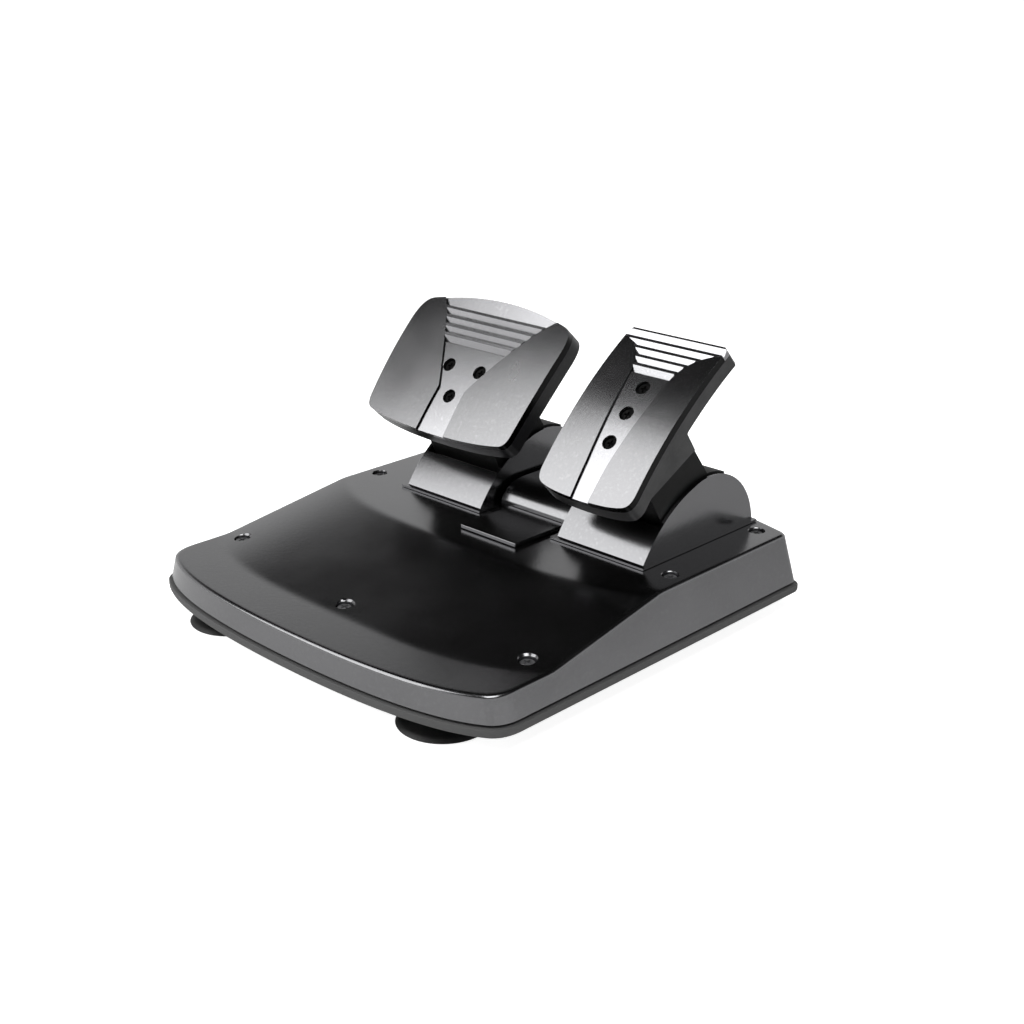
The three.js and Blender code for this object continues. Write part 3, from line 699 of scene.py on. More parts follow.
@dataclass(frozen=True)
class Finish:
    """One painted, moulded or metal surface, with its grain, flecks, worn edges and dust.

    side_colour is for faces that don't look the way the pedals' fronts do.
    """

    name: str
    slot: Slot
    colour: Colour
    roughness: float
    metallic: float = 0.0
    fleck: float = 0.0
    cloud: float = 0.12
    grain_scale: float = 1.0
    grain_depth: float = 0.000008
    wear: float = 0.0
    wear_colour: Colour = (0.5, 0.5, 0.5)
    dust: float = 0.03
    specular: float = 0.5
    coat: float = 0.0
    side_colour: Colour | None = None

    def material(self) -> bpy.types.Material:
        """The finish's material, made the first time it is asked for.

        Returns:
            The material.
        """
        found = bpy.data.materials.get(self.name)
        if found:
            return found
        material = bpy.data.materials.new(self.name)
        material.use_nodes = True
        tree = material.node_tree
        nodes, links = tree.nodes, tree.links
        shader = nodes["Principled BSDF"]
        shader.inputs["Specular IOR Level"].default_value = self.specular
        shader.inputs["Metallic"].default_value = self.metallic
        shader.inputs["Coat Weight"].default_value = self.coat
        shader.inputs["Coat Roughness"].default_value = COAT_ROUGHNESS
        grain = self._group(tree, Shelf.grain(), Scale=self.grain_scale)
        wear = self._group(tree, Shelf.edge_wear(), Amount=self.wear)
        dust = self._group(tree, Shelf.dust(), Amount=self.dust)
        pale = tuple(min(1.0, c * PALE_GAIN + PALE_LIFT) for c in self.colour)
        deep = tuple(c * DEEP_GAIN for c in self.colour)
        base = self._mix(tree, grain.outputs["Cloud"], deep, self.colour)
        flecks = worked(tree, "MULTIPLY", grain.outputs["Fleck"], self.fleck)
        flecked = self._mix(tree, flecks, base, pale)
        worn = self._mix(tree, wear.outputs["Mask"], flecked, self.wear_colour)
        dusty = self._mix(tree, dust.outputs["Mask"], worn, DUST_COLOUR)
        if self.side_colour:
            front = self._group(tree, Shelf.facing()).outputs["Mask"]
            dusty = self._mix(tree, front, self.side_colour, dusty)
        links.new(dusty, shader.inputs["Base Color"])
        rough = nodes.new("ShaderNodeMapRange")
        rough.inputs["From Min"].default_value, rough.inputs["From Max"].default_value = CLOUD_SPAN
        rough.inputs["To Min"].default_value = self.roughness * (1 - self.cloud)
        rough.inputs["To Max"].default_value = self.roughness * (1 + self.cloud)
        links.new(grain.outputs["Cloud"], rough.inputs["Value"])
        links.new(rough.outputs["Result"], shader.inputs["Roughness"])
        bump = nodes.new("ShaderNodeBump")
        bump.inputs["Distance"].default_value = self.grain_depth
        links.new(grain.outputs["Height"], bump.inputs["Height"])
        links.new(bump.outputs["Normal"], shader.inputs["Normal"])
        return material

    @staticmethod
    def _group(tree: bpy.types.NodeTree, group: bpy.types.NodeTree, **values: float) -> bpy.types.Node:
        """Places a node group in a material.

        Args:
            tree: The material's tree.
            group: The group.
            **values: Values of the group's inputs.

        Returns:
            The group's node.
        """
        node = tree.nodes.new("ShaderNodeGroup")
        node.node_tree = group
        for label, value in values.items():
            node.inputs[label].default_value = value
        return node

    @staticmethod
    def _mix(
        tree: bpy.types.NodeTree, share: bpy.types.NodeSocket, first: object, second: object
    ) -> bpy.types.NodeSocket:
        """Mixes two colours, each plain or from a socket.

        Args:
            tree: The material's tree.
            share: The socket that gives the second colour's share.
            first: The first colour.
            second: The second colour.

        Returns:
            The socket that gives the mixed colour.
        """
        node = tree.nodes.new("ShaderNodeMix")
        node.data_type = "RGBA"
        feed(tree, node.inputs["Factor"], share)
        ends = [socket for socket in node.inputs if socket.type == "RGBA"]
        for socket, colour in zip(ends, (first, second)):
            feed(tree, socket, (*colour, 1.0) if isinstance(colour, tuple) else colour)
        return next(socket for socket in node.outputs if socket.type == "RGBA")


COVER_PAINT = Finish(
    "cover_paint", Slot.COVER, (0.2, 0.2, 0.205), 0.21, metallic=1.0, fleck=0.12, cloud=0.12,
    grain_depth=0.000009, dust=0.004,
)
TRAY_PLASTIC = Finish(
    "tray_plastic", Slot.TRAY, (0.1, 0.1, 0.103), 0.3, metallic=1.0, fleck=0.2, grain_depth=0.000008,
    dust=0.004,
)
PLATE_PAINT = Finish(
    "pedal_plate_paint", Slot.PLATE, (0.24, 0.24, 0.245), 0.25, metallic=1.0, fleck=0.14, cloud=0.1,
    grain_depth=0.000006, dust=0.0,
    side_colour=(0.012, 0.012, 0.012),
)
INSERT_SILVER = Finish(
    "insert_silver", Slot.INSERT, (0.38, 0.38, 0.39), 0.25, metallic=1.0, fleck=0.15, cloud=0.05,
    grain_depth=0.000003, dust=0.0,
)
SHELL_PLASTIC = Finish(
    "pedal_shell_plastic", Slot.SHELL, (0.008, 0.008, 0.009), 0.34, specular=0.35, fleck=0.3,
    grain_depth=0.00001, wear=0.1, dust=0.01,
)
ARM_BLACK = Finish("arm_black", Slot.INNER, (0.002, 0.002, 0.002), 0.45, wear=0.01, dust=0.002, specular=0.14)
HOLE_BLACK = Finish("face_screw_black", Slot.SCREW, (0.003, 0.003, 0.003), 0.6, wear=0.01, specular=0.06)
CUP_RUBBER = Finish(
    "cup_rubber", Slot.RUBBER, (0.004, 0.004, 0.004), 0.55, grain_scale=0.5, wear=0.05, dust=0.01,
    specular=0.35,
)
SCREW_STEEL = Finish("screw_steel", Slot.SCREW, (0.1, 0.1, 0.105), 0.3, metallic=1.0, wear=0.4)
SHAFT_STEEL = Finish("shaft_steel", Slot.SCREW, (0.5, 0.5, 0.51), 0.25, metallic=1.0, grain_scale=0.4)
BUSH_BRASS = Finish("bush_brass", Slot.BUSH, (0.62, 0.45, 0.2), 0.3, metallic=1.0)
BOARD_GREEN = Finish("board_green", Slot.BOARD, (0.02, 0.12, 0.05), 0.4, coat=0.3)
GEAR_BLACK = Finish("gear_black", Slot.INNER, (0.02, 0.02, 0.022), 0.5)


# ---- Geometry Nodes ------------------------------------------------------------------------
class Repeater:
    """Geometry Nodes trees that repeat a small part or wind it along a path."""

    HEAD_SIDES = 40
    SHANK_SIDES = 20
    RIM_SHARE = 0.6  # how much of a head's height is upright
    CROWN_SHARE = 0.8  # a head's radius at its top, beside the one at its rim
    OVERLAP = 0.2  # how far a shank reaches into its head
    TURN_STEPS = 32
    WIRE_SIDES = 12

    @staticmethod
    def _tree(name: str, inputs: dict[str, tuple[str, object]]) -> bpy.types.NodeTree:
        """Starts a tree with geometry in and out.

        Args:
            name: The tree's name.
            inputs: Each other input's type of socket and first value.

        Returns:
            The tree.
        """
        tree = bpy.data.node_groups.new(name, "GeometryNodeTree")
        tree.interface.new_socket("Geometry", in_out="INPUT", socket_type="NodeSocketGeometry")
        for label, (kind, value) in inputs.items():
            socket = tree.interface.new_socket(label, in_out="INPUT", socket_type=kind)
            if value is not None:
                socket.default_value = value
        tree.interface.new_socket("Geometry", in_out="OUTPUT", socket_type="NodeSocketGeometry")
        return tree

    @staticmethod
    def _end(tree: bpy.types.NodeTree, given: bpy.types.Node, made: bpy.types.NodeSocket) -> None:
        """Ends a tree in Realize Instances and Set Material.

        Args:
            tree: The tree.
            given: The node that gives its inputs.
            made: The socket that gives what it has made.
        """
        real = tree.nodes.new("GeometryNodeRealizeInstances")
        paint = tree.nodes.new("GeometryNodeSetMaterial")
        result = tree.nodes.new("NodeGroupOutput")
        tree.links.new(made, real.inputs[0])
        tree.links.new(real.outputs[0], paint.inputs["Geometry"])
        tree.links.new(given.outputs["Material"], paint.inputs["Material"])
        tree.links.new(paint.outputs[0], result.inputs[0])

    @classmethod
    def screws(cls) -> bpy.types.NodeTree:
        """Puts a cross-head screw on each point, with its head's seat at the point.

        Returns:
            The tree.
        """
        if "cross_head_screws" in bpy.data.node_groups:
            return bpy.data.node_groups["cross_head_screws"]
        sizes = {
            "Head Radius": 4.0, "Head Height": 2.0, "Shank Radius": 1.7, "Shank Length": 10.0,
            "Slot Length": 4.6, "Slot Width": 1.1, "Slot Depth": 1.1,
        }
        inputs = {label: ("NodeSocketFloat", value) for label, value in sizes.items()}
        inputs["Material"] = ("NodeSocketMaterial", None)
        tree = cls._tree("cross_head_screws", inputs)
        nodes, links = tree.nodes, tree.links
        given = nodes.new("NodeGroupInput")

        def raised(
            shape: bpy.types.NodeSocket, height: bpy.types.NodeSocket
        ) -> bpy.types.NodeSocket:
            """Moves a shape up by a height.

            Args:
                shape: The socket that gives the shape.
                height: The socket that gives the height.

            Returns:
                The socket that gives the moved shape.
            """
            vector = nodes.new("ShaderNodeCombineXYZ")
            links.new(height, vector.inputs["Z"])
            move = nodes.new("GeometryNodeTransform")
            links.new(shape, move.inputs["Geometry"])
            links.new(vector.outputs[0], move.inputs["Translation"])
            return move.outputs[0]

        def cone(
            low: bpy.types.NodeSocket, high: bpy.types.NodeSocket, depth: bpy.types.NodeSocket, sides: int
        ) -> bpy.types.NodeSocket:
            """An upright cone with two radii, or a cylinder where they are the same.

            Args:
                low: The socket that gives its lower radius.
                high: The socket that gives its upper radius.
                depth: The socket that gives its height.
                sides: Number of sides.

            Returns:
                The socket that gives the cone.
            """
            node = nodes.new("GeometryNodeMeshCone")
            node.inputs["Vertices"].default_value = sides
            links.new(low, node.inputs["Radius Bottom"])
            links.new(high, node.inputs["Radius Top"])
            links.new(depth, node.inputs["Depth"])
            return node.outputs["Mesh"]

        head_radius, head_height = given.outputs["Head Radius"], given.outputs["Head Height"]
        edge = worked(tree, "MULTIPLY", head_height, cls.RIM_SHARE)
        dome = worked(tree, "MULTIPLY", head_height, 1 - cls.RIM_SHARE)
        head_top = worked(tree, "MULTIPLY", head_radius, cls.CROWN_SHARE)
        rim = cone(head_radius, head_radius, edge, cls.HEAD_SIDES)
        crown = raised(cone(head_radius, head_top, dome, cls.HEAD_SIDES), edge)
        shank_radius, shank_length = given.outputs["Shank Radius"], given.outputs["Shank Length"]
        shank = cone(shank_radius, shank_radius, shank_length, cls.SHANK_SIDES)
        drop = worked(tree, "ADD", worked(tree, "MULTIPLY", shank_length, -1.0), cls.OVERLAP)
        join = nodes.new("GeometryNodeMeshBoolean")
        join.operation = "UNION"
        for shape in (rim, crown, raised(shank, drop)):
            links.new(shape, join.inputs["Mesh 2"])
        cut = nodes.new("GeometryNodeMeshBoolean")
        cut.operation = "DIFFERENCE"
        links.new(join.outputs["Mesh"], cut.inputs["Mesh 1"])
        for long_axis in ("X", "Y"):
            size = nodes.new("ShaderNodeCombineXYZ")
            for axis in ("X", "Y"):
                label = "Slot Length" if axis == long_axis else "Slot Width"
                links.new(given.outputs[label], size.inputs[axis])
            feed(tree, size.inputs["Z"], worked(tree, "MULTIPLY", given.outputs["Slot Depth"], 2.0))
            slot = nodes.new("GeometryNodeMeshCube")
            links.new(size.outputs[0], slot.inputs["Size"])
            links.new(raised(slot.outputs["Mesh"], head_height), cut.inputs["Mesh 2"])
        copies = nodes.new("GeometryNodeInstanceOnPoints")
        links.new(given.outputs["Geometry"], copies.inputs["Points"])
        links.new(cut.outputs["Mesh"], copies.inputs["Instance"])
        cls._end(tree, given, copies.outputs[0])
        return tree

    @classmethod
    def coil(cls) -> bpy.types.NodeTree:
        """Winds a round wire into a coil that stands on the origin.

        Returns:
            The tree.
        """
        if "wound_coil" in bpy.data.node_groups:
            return bpy.data.node_groups["wound_coil"]
        tree = cls._tree("wound_coil", {
            "Turns": ("NodeSocketFloat", 5.0),
            "Radius": ("NodeSocketFloat", 5.0),
            "Height": ("NodeSocketFloat", 16.0),
            "Wire Radius": ("NodeSocketFloat", 0.8),
            "Material": ("NodeSocketMaterial", None),
        })
        given = tree.nodes.new("NodeGroupInput")
        path = tree.nodes.new("GeometryNodeCurveSpiral")
        path.inputs["Resolution"].default_value = cls.TURN_STEPS
        wire = tree.nodes.new("GeometryNodeCurvePrimitiveCircle")
        wire.inputs["Resolution"].default_value = cls.WIRE_SIDES
        solid = tree.nodes.new("GeometryNodeCurveToMesh")
        solid.inputs["Fill Caps"].default_value = True
        for source, socket in (
            ("Turns", path.inputs["Rotations"]),
            ("Radius", path.inputs["Start Radius"]),
            ("Radius", path.inputs["End Radius"]),
            ("Height", path.inputs["Height"]),
            ("Wire Radius", wire.inputs["Radius"]),
        ):
            tree.links.new(given.outputs[source], socket)
        tree.links.new(path.outputs[0], solid.inputs["Curve"])
        tree.links.new(wire.outputs[0], solid.inputs["Profile Curve"])
        cls._end(tree, given, solid.outputs[0])
        return tree

    @staticmethod
    def run(start: Solid, tree: bpy.types.NodeTree, **values: object) -> Solid:
        """Runs a tree on a solid and keeps the result as a plain mesh.

        Args:
            start: The solid whose mesh goes in.
            tree: The tree.
            **values: The tree's inputs, with _ for a space in their names.

        Returns:
            The same solid, with its new mesh.
        """
        step = start.thing.modifiers.new("repeat", "NODES")
        step.node_group = tree
        labels = {
            item.name: item.identifier
            for item in tree.interface.items_tree
            if item.item_type == "SOCKET" and item.in_out == "INPUT"
        }
        for label, value in values.items():
            step[labels[label.replace("_", " ")]] = value
        start.apply()
        return start


# ---- Base ----------------------------------------------------------------------------------
@dataclass
class Base:
    """The tray, top cover, feet, screws, cable inlet and blank plate."""

    WALL_STEPS = 6
    RIM_STEPS = 6
    LEAN_ROUNDS = 3  # how often a ring's height and lean are worked out from each other
    MIDDLE = 9.0  # how near the rings come to the middle line

    half_width: float = 125.0
    half_length: float = 130.75
    front_corner: Point = (117.0, -113.0)
    side_start: float = -97.0
    rear_corner_y: float = 114.75
    lip: float = 1.5
    plate_bottom: float = 10.5
    plate_top: float = 15.0
    cover_bottom: float = 16.0
    deck_z: float = 41.7
    band_z: float = 29.3
    wall: float = 2.5
    deck_end_y: float = -16.75
    band_start_y: float = -99.75
    arc_sweep: float = 23.0
    arc_half_width: float = 116.0
    arc_limit: float = 1.3
    side_lean: float = 0.262
    end_lean: float = 0.06
    fold_radius: float = 2.6
    rim_radius: float = 2.0
    ring_step: float = 1.3
    head_radius: float = 4.0
    head_depth: float = 3.6
    boss_radius: float = 6.5
    screws: list[Point] = field(default_factory=lambda: [
        (0, -92), (-106.5, -74), (106.5, -74), (-108, 27), (108, 27), (-104, 104.7), (104, 104.7),
    ])

    def outline(self) -> Outline:
        """The outline seen from above, at the cover's lower edge.

        Returns:
            Points all the way round, from the middle of the front.
        """
        wide, long = self.half_width, self.half_length
        bow = bezier((0, -long), (88, -long), self.front_corner, 36)
        corner = bezier(self.front_corner, (wide, -109), (wide, self.side_start), 16)[1:]
        end = self.rear_corner_y - 5
        side = [(wide, self.side_start + (end - self.side_start) * i / 60) for i in range(1, 60)]
        turn = bezier((wide, end), (wide, end + 4.6), (wide - 5, end + 5.9), 8)
        rear = bezier(turn[-1], (62, long), (0, long), 36)[1:]
        return mirrored(bow + corner + side + turn + rear)

    def ring(self, z: float, offset: float) -> list[Vector]:
        """The outline at a height on the leaning wall.

        Args:
            z: The height.
            offset: How far it is moved out.

        Returns:
            The ring.
        """
        rise = max(0.0, z - self.cover_bottom)
        wide = (self.half_width + offset - self.side_lean * rise) / self.half_width
        long = (self.half_length + offset - self.end_lean * rise) / self.half_length
        return [Vector((x * wide, y * long, z)) for x, y in self.outline()]

    def _ramp(self, t: float) -> float:
        """Zero below, t above, and a soft bend between.

        Args:
            t: How far a point is past the fold.

        Returns:
            The softened distance.
        """
        r = self.fold_radius
        if abs(t) >= r:
            return max(t, 0.0)
        return (t + r) ** 2 / (4 * r)

    def top_z(self, x: float, y: float) -> float:
        """Height of the top surface, which folds along two arcs.

        Args:
            x: Place across.
            y: Place from front to back.

        Returns:
            The height.
        """
        sweep = self.arc_sweep * min(self.arc_limit, (abs(x) / self.arc_half_width) ** 4)
        slope = (self.deck_z - self.band_z) / (self.deck_end_y - self.band_start_y)
        start, end = self.band_start_y + sweep, self.deck_end_y + sweep
        return self.band_z + slope * (self._ramp(y - start) - self._ramp(y - end))

    def _cover_ring(self, inset: float, lift: float, drop: float) -> list[Vector]:
        """A ring under the top surface.

        Args:
            inset: How far it is in from the outside of the wall.
            lift: How far it is below the surface, for the rounded rim.
            drop: How far it is below that, for the inside of the wall.

        Returns:
            The ring.
        """
        ring = []
        for x, y in self.outline():
            px, py, height = x, y, self.band_z
            for _ in range(self.LEAN_ROUNDS):
                rise = height - self.cover_bottom
                px = x * (self.half_width - self.side_lean * rise - inset) / self.half_width
                py = y * (self.half_length - self.end_lean * rise - inset) / self.half_length
                height = self.top_z(px, py)
            ring.append(Vector((px, py, height - lift - drop)))
        return ring

    def _wall_ring(self, share: float) -> list[Vector]:
        """A ring on the outside wall.

        Args:
            share: How much of the way up it is.

        Returns:
            The ring.
        """
        top = self._cover_ring(0.0, self.rim_radius, 0.0)
        low = self.ring(self.cover_bottom + 0.4, 0.0)
        return [a.lerp(b, share) for a, b in zip(low, top)]

    def cover(self) -> None:
        """Builds the top cover."""
        radius = self.rim_radius
        outer = [self.ring(self.cover_bottom, -0.5)]
        outer += [self._wall_ring(i / self.WALL_STEPS) for i in range(self.WALL_STEPS + 1)]
        for i in range(1, self.RIM_STEPS):
            turn = math.radians(90 * i / self.RIM_STEPS)
            outer.append(self._cover_ring(
                radius * (1 - math.cos(turn)), radius * (1 - math.sin(turn)), 0.0))
        steps = round((self.half_width - self.MIDDLE - radius) / self.ring_step)
        insets = [radius + self.ring_step * i for i in range(steps)]
        outer += [self._cover_ring(inset, 0.0, 0.0) for inset in insets]
        # The hidden side needs only every ninth ring, back from the middle.
        inner = [self._cover_ring(inset, 0.0, self.wall) for inset in insets[:2:-9]]
        inner.append(self._cover_ring(self.wall + 0.6, 1.0, self.wall))
        inner.append(self.ring(self.cover_bottom, -self.wall))
        shell = self._shell(outer, inner)
        seats = [(x, y, self.top_z(x, y)) for x, y in self.screws]
        bosses = [
            Solid.top_view(circle(self.boss_radius, 32, (x, y)), 20.3, top - 1.2)
            for x, y, top in seats
        ]
        shell.join(*bosses)
        shell.cut(*[self._screw_pit(*seat) for seat in seats])
        shell.cut(self._workings_opening())
        shell.cut(self._inlet(5.0, 100.0))
        shell.piece("top_cover_shell", COVER_PAINT, "base", "top_cover")

    @staticmethod
    def _shell(outer: list[list[Vector]], inner: list[list[Vector]]) -> Solid:
        """A hollow cover, open below.

        Args:
            outer: Rings up the outside, to the middle of the top.
            inner: Rings down the inside, from the middle of the top.

        Returns:
            The solid.
        """
        rings = outer + inner
        count, top = len(rings[0]), len(outer) - 1
        pairs = [(r, (r + 1) % len(rings)) for r in range(len(rings)) if r != top]
        faces = Solid.bands(count, pairs)
        last = top * count
        faces.append(list(range(last, last + count)))
        faces.append(list(range(last + count, last + 2 * count))[::-1])
        return Solid.from_faces([p for ring in rings for p in ring], faces)

    def _screw_pit(self, x: float, y: float, top: float) -> Solid:
        """A counterbore with a chamfered mouth, and the screw's hole below it.

        Args:
            x: Place across.
            y: Place from front to back.
            top: Height of the top surface there.

        Returns:
            The solid to cut away.
        """
        seat, mouth = top - self.head_depth, self.head_radius + GAP
        profile = [
            (0, 10), (2, 10), (2, seat), (mouth, seat), (mouth, top - 0.35),
            (mouth + 0.9, top + 0.55), (mouth + 0.9, top + 9), (0, top + 9),
        ]
        return Solid.lathe(profile, 40, Vector((x, y, 0)))

    @staticmethod
    def _workings_opening() -> Solid:
        """The hole in the deck for both arms and the gears between them.

        Returns:
            The solid to cut away.
        """
        low, high = 36.0, 113.4
        x = [-79.5, -21.1, 35.4, 93.8]
        outline = [
            (x[0], low), (x[1], low), (x[1], 49), (x[2], 49), (x[2], low), (x[3], low),
            (x[3], high), (x[2], high), (x[2], 92), (x[1], 92), (x[1], high), (x[0], high),
        ]
        return Solid.top_view(outline, 30, 60)

    @staticmethod
    def _inlet(radius: float, start: float, end: float = 140.0) -> Solid:
        """A round bar from front to back on the cable inlet's axis.

        Args:
            radius: Its radius.
            start: Its front end.
            end: Its rear end.

        Returns:
            The solid.
        """
        inlet_height = 27
        place = Matrix.Translation((0, 0, inlet_height)) @ REAR
        return Solid.extruded(circle(radius, 40), start, end, place)

    def tray(self) -> None:
        """Builds the tray under the cover."""
        lip, low, high = self.lip, self.plate_bottom, self.plate_top
        steps = [
            (low, -20), (low, lip - 1.4), (low + 0.4, lip - 0.4), (low + 1.4, lip),
            (high - 0.6, lip), (high - 0.15, lip - 0.2), (high, lip - 0.6), (high, -3.3),
            (high + 2.6, -3.3), (high + 2.6, -5.3), (high, -5.3), (high, -20),
        ]
        body = Solid.rings([self.ring_flat(z, offset) for z, offset in steps])
        posts = [
            Solid.top_view(circle(self.boss_radius, 24, at), high - 1, 19.7) for at in self.screws
        ]
        body.join(*posts)
        body.piece("floor_tray", TRAY_PLASTIC, "base", "base_plate")

    def ring_flat(self, z: float, offset: float) -> list[Vector]:
        """The outline at a height, with no lean.

        Args:
            z: The height.
            offset: How far it is moved out.

        Returns:
            The ring.
        """
        wide = (self.half_width + offset) / self.half_width
        long = (self.half_length + offset) / self.half_length
        return [Vector((x * wide, y * long, z)) for x, y in self.outline()]

    def cups(self) -> None:
        """Builds the four suction cups, each on its own CAD node."""
        for i in range(1, 5):
            node = f"suction_cup_{i}"
            low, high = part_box(node)
            centre = (low + high) / 2 / MM
            radius = (high.x - low.x) / 2 / MM
            under = self.plate_bottom - GAP
            rim = bezier((radius - 2.5, 0), (radius, 0), (radius, 0.7), 5)
            skirt = bezier((radius - 1.2, 2.2), (radius - 7, 4.4), (13, 6.2), 7)
            neck = bezier((13, 6.2), (9.6, 7.2), (9, under), 6)
            hollow = bezier((0, 3.4), (13, 3.2), (radius - 2.5, 0), 8)
            stem = [(3, under), (3, 15.3), (5, 15.3), (4.4, 17), (3.4, 17.6), (0, 17.6)]
            profile = hollow + rim[1:] + skirt + neck[1:] + stem
            cup = Solid.lathe(profile, 72, Vector((centre.x, centre.y, 0)))
            cup.piece(f"rubber_cup_{i}", CUP_RUBBER, "base", node, sharp=50)

    def cover_screws(self) -> None:
        """Builds the cover screws with one tree."""
        seats = [(x, y, self.top_z(x, y) - self.head_depth + GAP) for x, y in self.screws]
        screws = Repeater.run(
            Solid.points(seats), Repeater.screws(), Head_Radius=self.head_radius,
            Material=SCREW_STEEL.material(),
        )
        nodes = [f"cover_screw_{i + 1}" for i in range(len(seats))]
        screws.piece("cover_screws", SCREW_STEEL, "base", *nodes, sharp=30)

    def inlet(self) -> None:
        """Builds the rubber grommet of the cable inlet."""
        grommet = self._inlet(4.7, 124)
        grommet.meet(Solid.block((-9, 9), (120, 131.2), (18, 36)))
        grommet.join(self._inlet(7, 130.5, 132.1))
        grommet.cut(self._inlet(3.4, 100))
        grommet.softened(0.35)
        grommet.piece("inlet_grommet", CUP_RUBBER, "base", "cable_grommet")

    def blank_plate(self) -> None:
        """Builds the blank plate in front of the bridge."""
        low, high = (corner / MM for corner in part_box("centre_plate"))
        plate = Solid.block((low.x, high.x), (low.y, high.y), (low.z, high.z))
        plate.softened(0.45, 3)
        plate.piece("blank_plate", COVER_PAINT, "base", "centre_plate")

    def build(self) -> None:
        """Builds every piece of the base."""
        self.cover()
        self.tray()
        self.cups()
        self.cover_screws()
        self.inlet()
        self.blank_plate()


# ---- Hinge housings and bridge -------------------------------------------------------------
@dataclass
class HingeHousing:
    """One pedal's housing: two round cheeks, a front ramp and a rear hood."""

    side: str
    centre: float
    pivot: Point = (76.75, 39.0)
    half: float = 28.9
    front_y: float = 22.75
    cheek_radius: float = 38.0
    cheek_wall: float = 1.8
    flange: float = 2.4
    bush_radius: float = 6.5
    shaft_radius: float = 4.0
    deck: float = 42.0
    hood_start: float = 45.0
    ramp_start: float = 152.0
    skin: float = 0.5

    def ramp(self) -> Outline:
        """The front edge of the cheeks, which the ramp follows too.

        Returns:
            Points (y, z) from the deck up.
        """
        return bezier((self.front_y, self.deck), (38, 66), (62, 74.05), 26)

    def build(self) -> None:
        """Builds the housing."""
        left, right = self.centre - self.half, self.centre + self.half
        inside = (left + self.cheek_wall, right - self.cheek_wall)
        back = self.pivot[0] + self.cheek_radius
        cheeks = self.ramp() + arc(self.pivot, self.cheek_radius, 108, 4.5, 56)
        inner = [(self.front_y + 4, 30.0)]
        inner += [(y + 2, z - 1.6) for y, z in self.ramp()]
        inner += arc(self.pivot, self.cheek_radius - 2, 108, -2, 56) + [(back - 2, 30.0)]
        mouth = [self.pivot] + arc(self.pivot, 60, self.hood_start, self.ramp_start, 6)
        shell = Solid.side_view(cheeks, left, right)
        shell.cut(Solid.side_view(inner, *inside), Solid.side_view(mouth, *inside))
        foot = Solid.block(
            (left - self.flange, right + self.flange),
            (self.front_y - self.flange, back + 1),
            (self.deck, self.deck + 1.1),
        )
        foot.cut(Solid.block((left + 1, right - 1), (self.front_y + 3, back - 1.2), (0, 60)))
        shell.join(foot)
        shell.cut(
            Solid.bar((left + self.skin, right - self.skin), self.bush_radius + 0.1, self.pivot),
            Solid.bar(self._shaft_reach(self.skin), self.shaft_radius + 0.2, self.pivot),
        )
        shell.softened(0.4, 2, 40)
        shell.piece(f"{self.side}_hinge_housing", COVER_PAINT, "base", f"{self.side}_housing")
        self.bushes()
        self.shaft()

    def _shaft_reach(self, inset: float) -> Point:
        """The two ends of the shaft or its pocket, inside the cheeks' outer faces.

        Args:
            inset: How much shorter than the CAD shaft it is at each end.

        Returns:
            Its ends along X.
        """
        low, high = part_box(f"{self.side}_shaft")
        return (low.x / MM + inset, high.x / MM - inset)

    def shaft(self) -> None:
        """Builds the pivot shaft."""
        shaft = Solid.bar(self._shaft_reach(self.skin + 0.2), self.shaft_radius, self.pivot, 0.5)
        shaft.piece(f"{self.side}_pivot_shaft", SHAFT_STEEL, f"{self.side}_pedal", f"{self.side}_shaft")

    def bushes(self) -> None:
        """Builds the two bushes in their pockets in the cheeks."""
        for name in ("left", "right"):
            low, high = (corner.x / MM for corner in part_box(f"{self.side}_{name}_bush"))
            inset = self.skin + 0.1
            x = (low + inset, high) if name == "left" else (low, high - inset)
            bush = Solid.bar(x, self.bush_radius, self.pivot, 0.3)
            bush.cut(Solid.bar((x[0] - 1, x[1] + 1), self.shaft_radius + 0.15, self.pivot))
            label = f"{self.side}_{name}"
            bush.piece(f"{label}_brass_bush", BUSH_BRASS, "base", f"{label}_bush")


@dataclass
class CentreBridge:
    """The low rounded cover between the two housings."""

    front_y: float = 36.5
    back_y: float = 111.75
    x: Point = (-18.4, 32.7)
    deck: float = 42.0
    top: float = 55.2

    def build(self) -> None:
        """Builds the bridge."""
        nose = bezier((self.front_y + 1.4, 47.6), (42.5, self.top), (56, self.top), 20)
        tail = bezier((self.back_y - 12, self.top), (self.back_y, self.top), (self.back_y, self.deck), 14)
        outer = [(self.front_y, self.deck), (self.front_y + 0.4, 46.2)] + nose + tail
        middle = (self.front_y + self.back_y) / 2
        inner = [(middle + (y - middle) * 0.95, z - 2 if z > 45 else z - 5) for y, z in outer]
        body = Solid.side_view(outer, *self.x)
        body.cut(
            Solid.side_view(inner, self.x[0] + 2, self.x[1] - 2),
            Solid.side_view(circle(5, 24, (76.75, 39.0)), self.x[0] - 1, self.x[1] + 1),
        )
        body.softened(0.5, 2, 30)
        body.piece("middle_bridge", COVER_PAINT, "base", "centre_bridge")


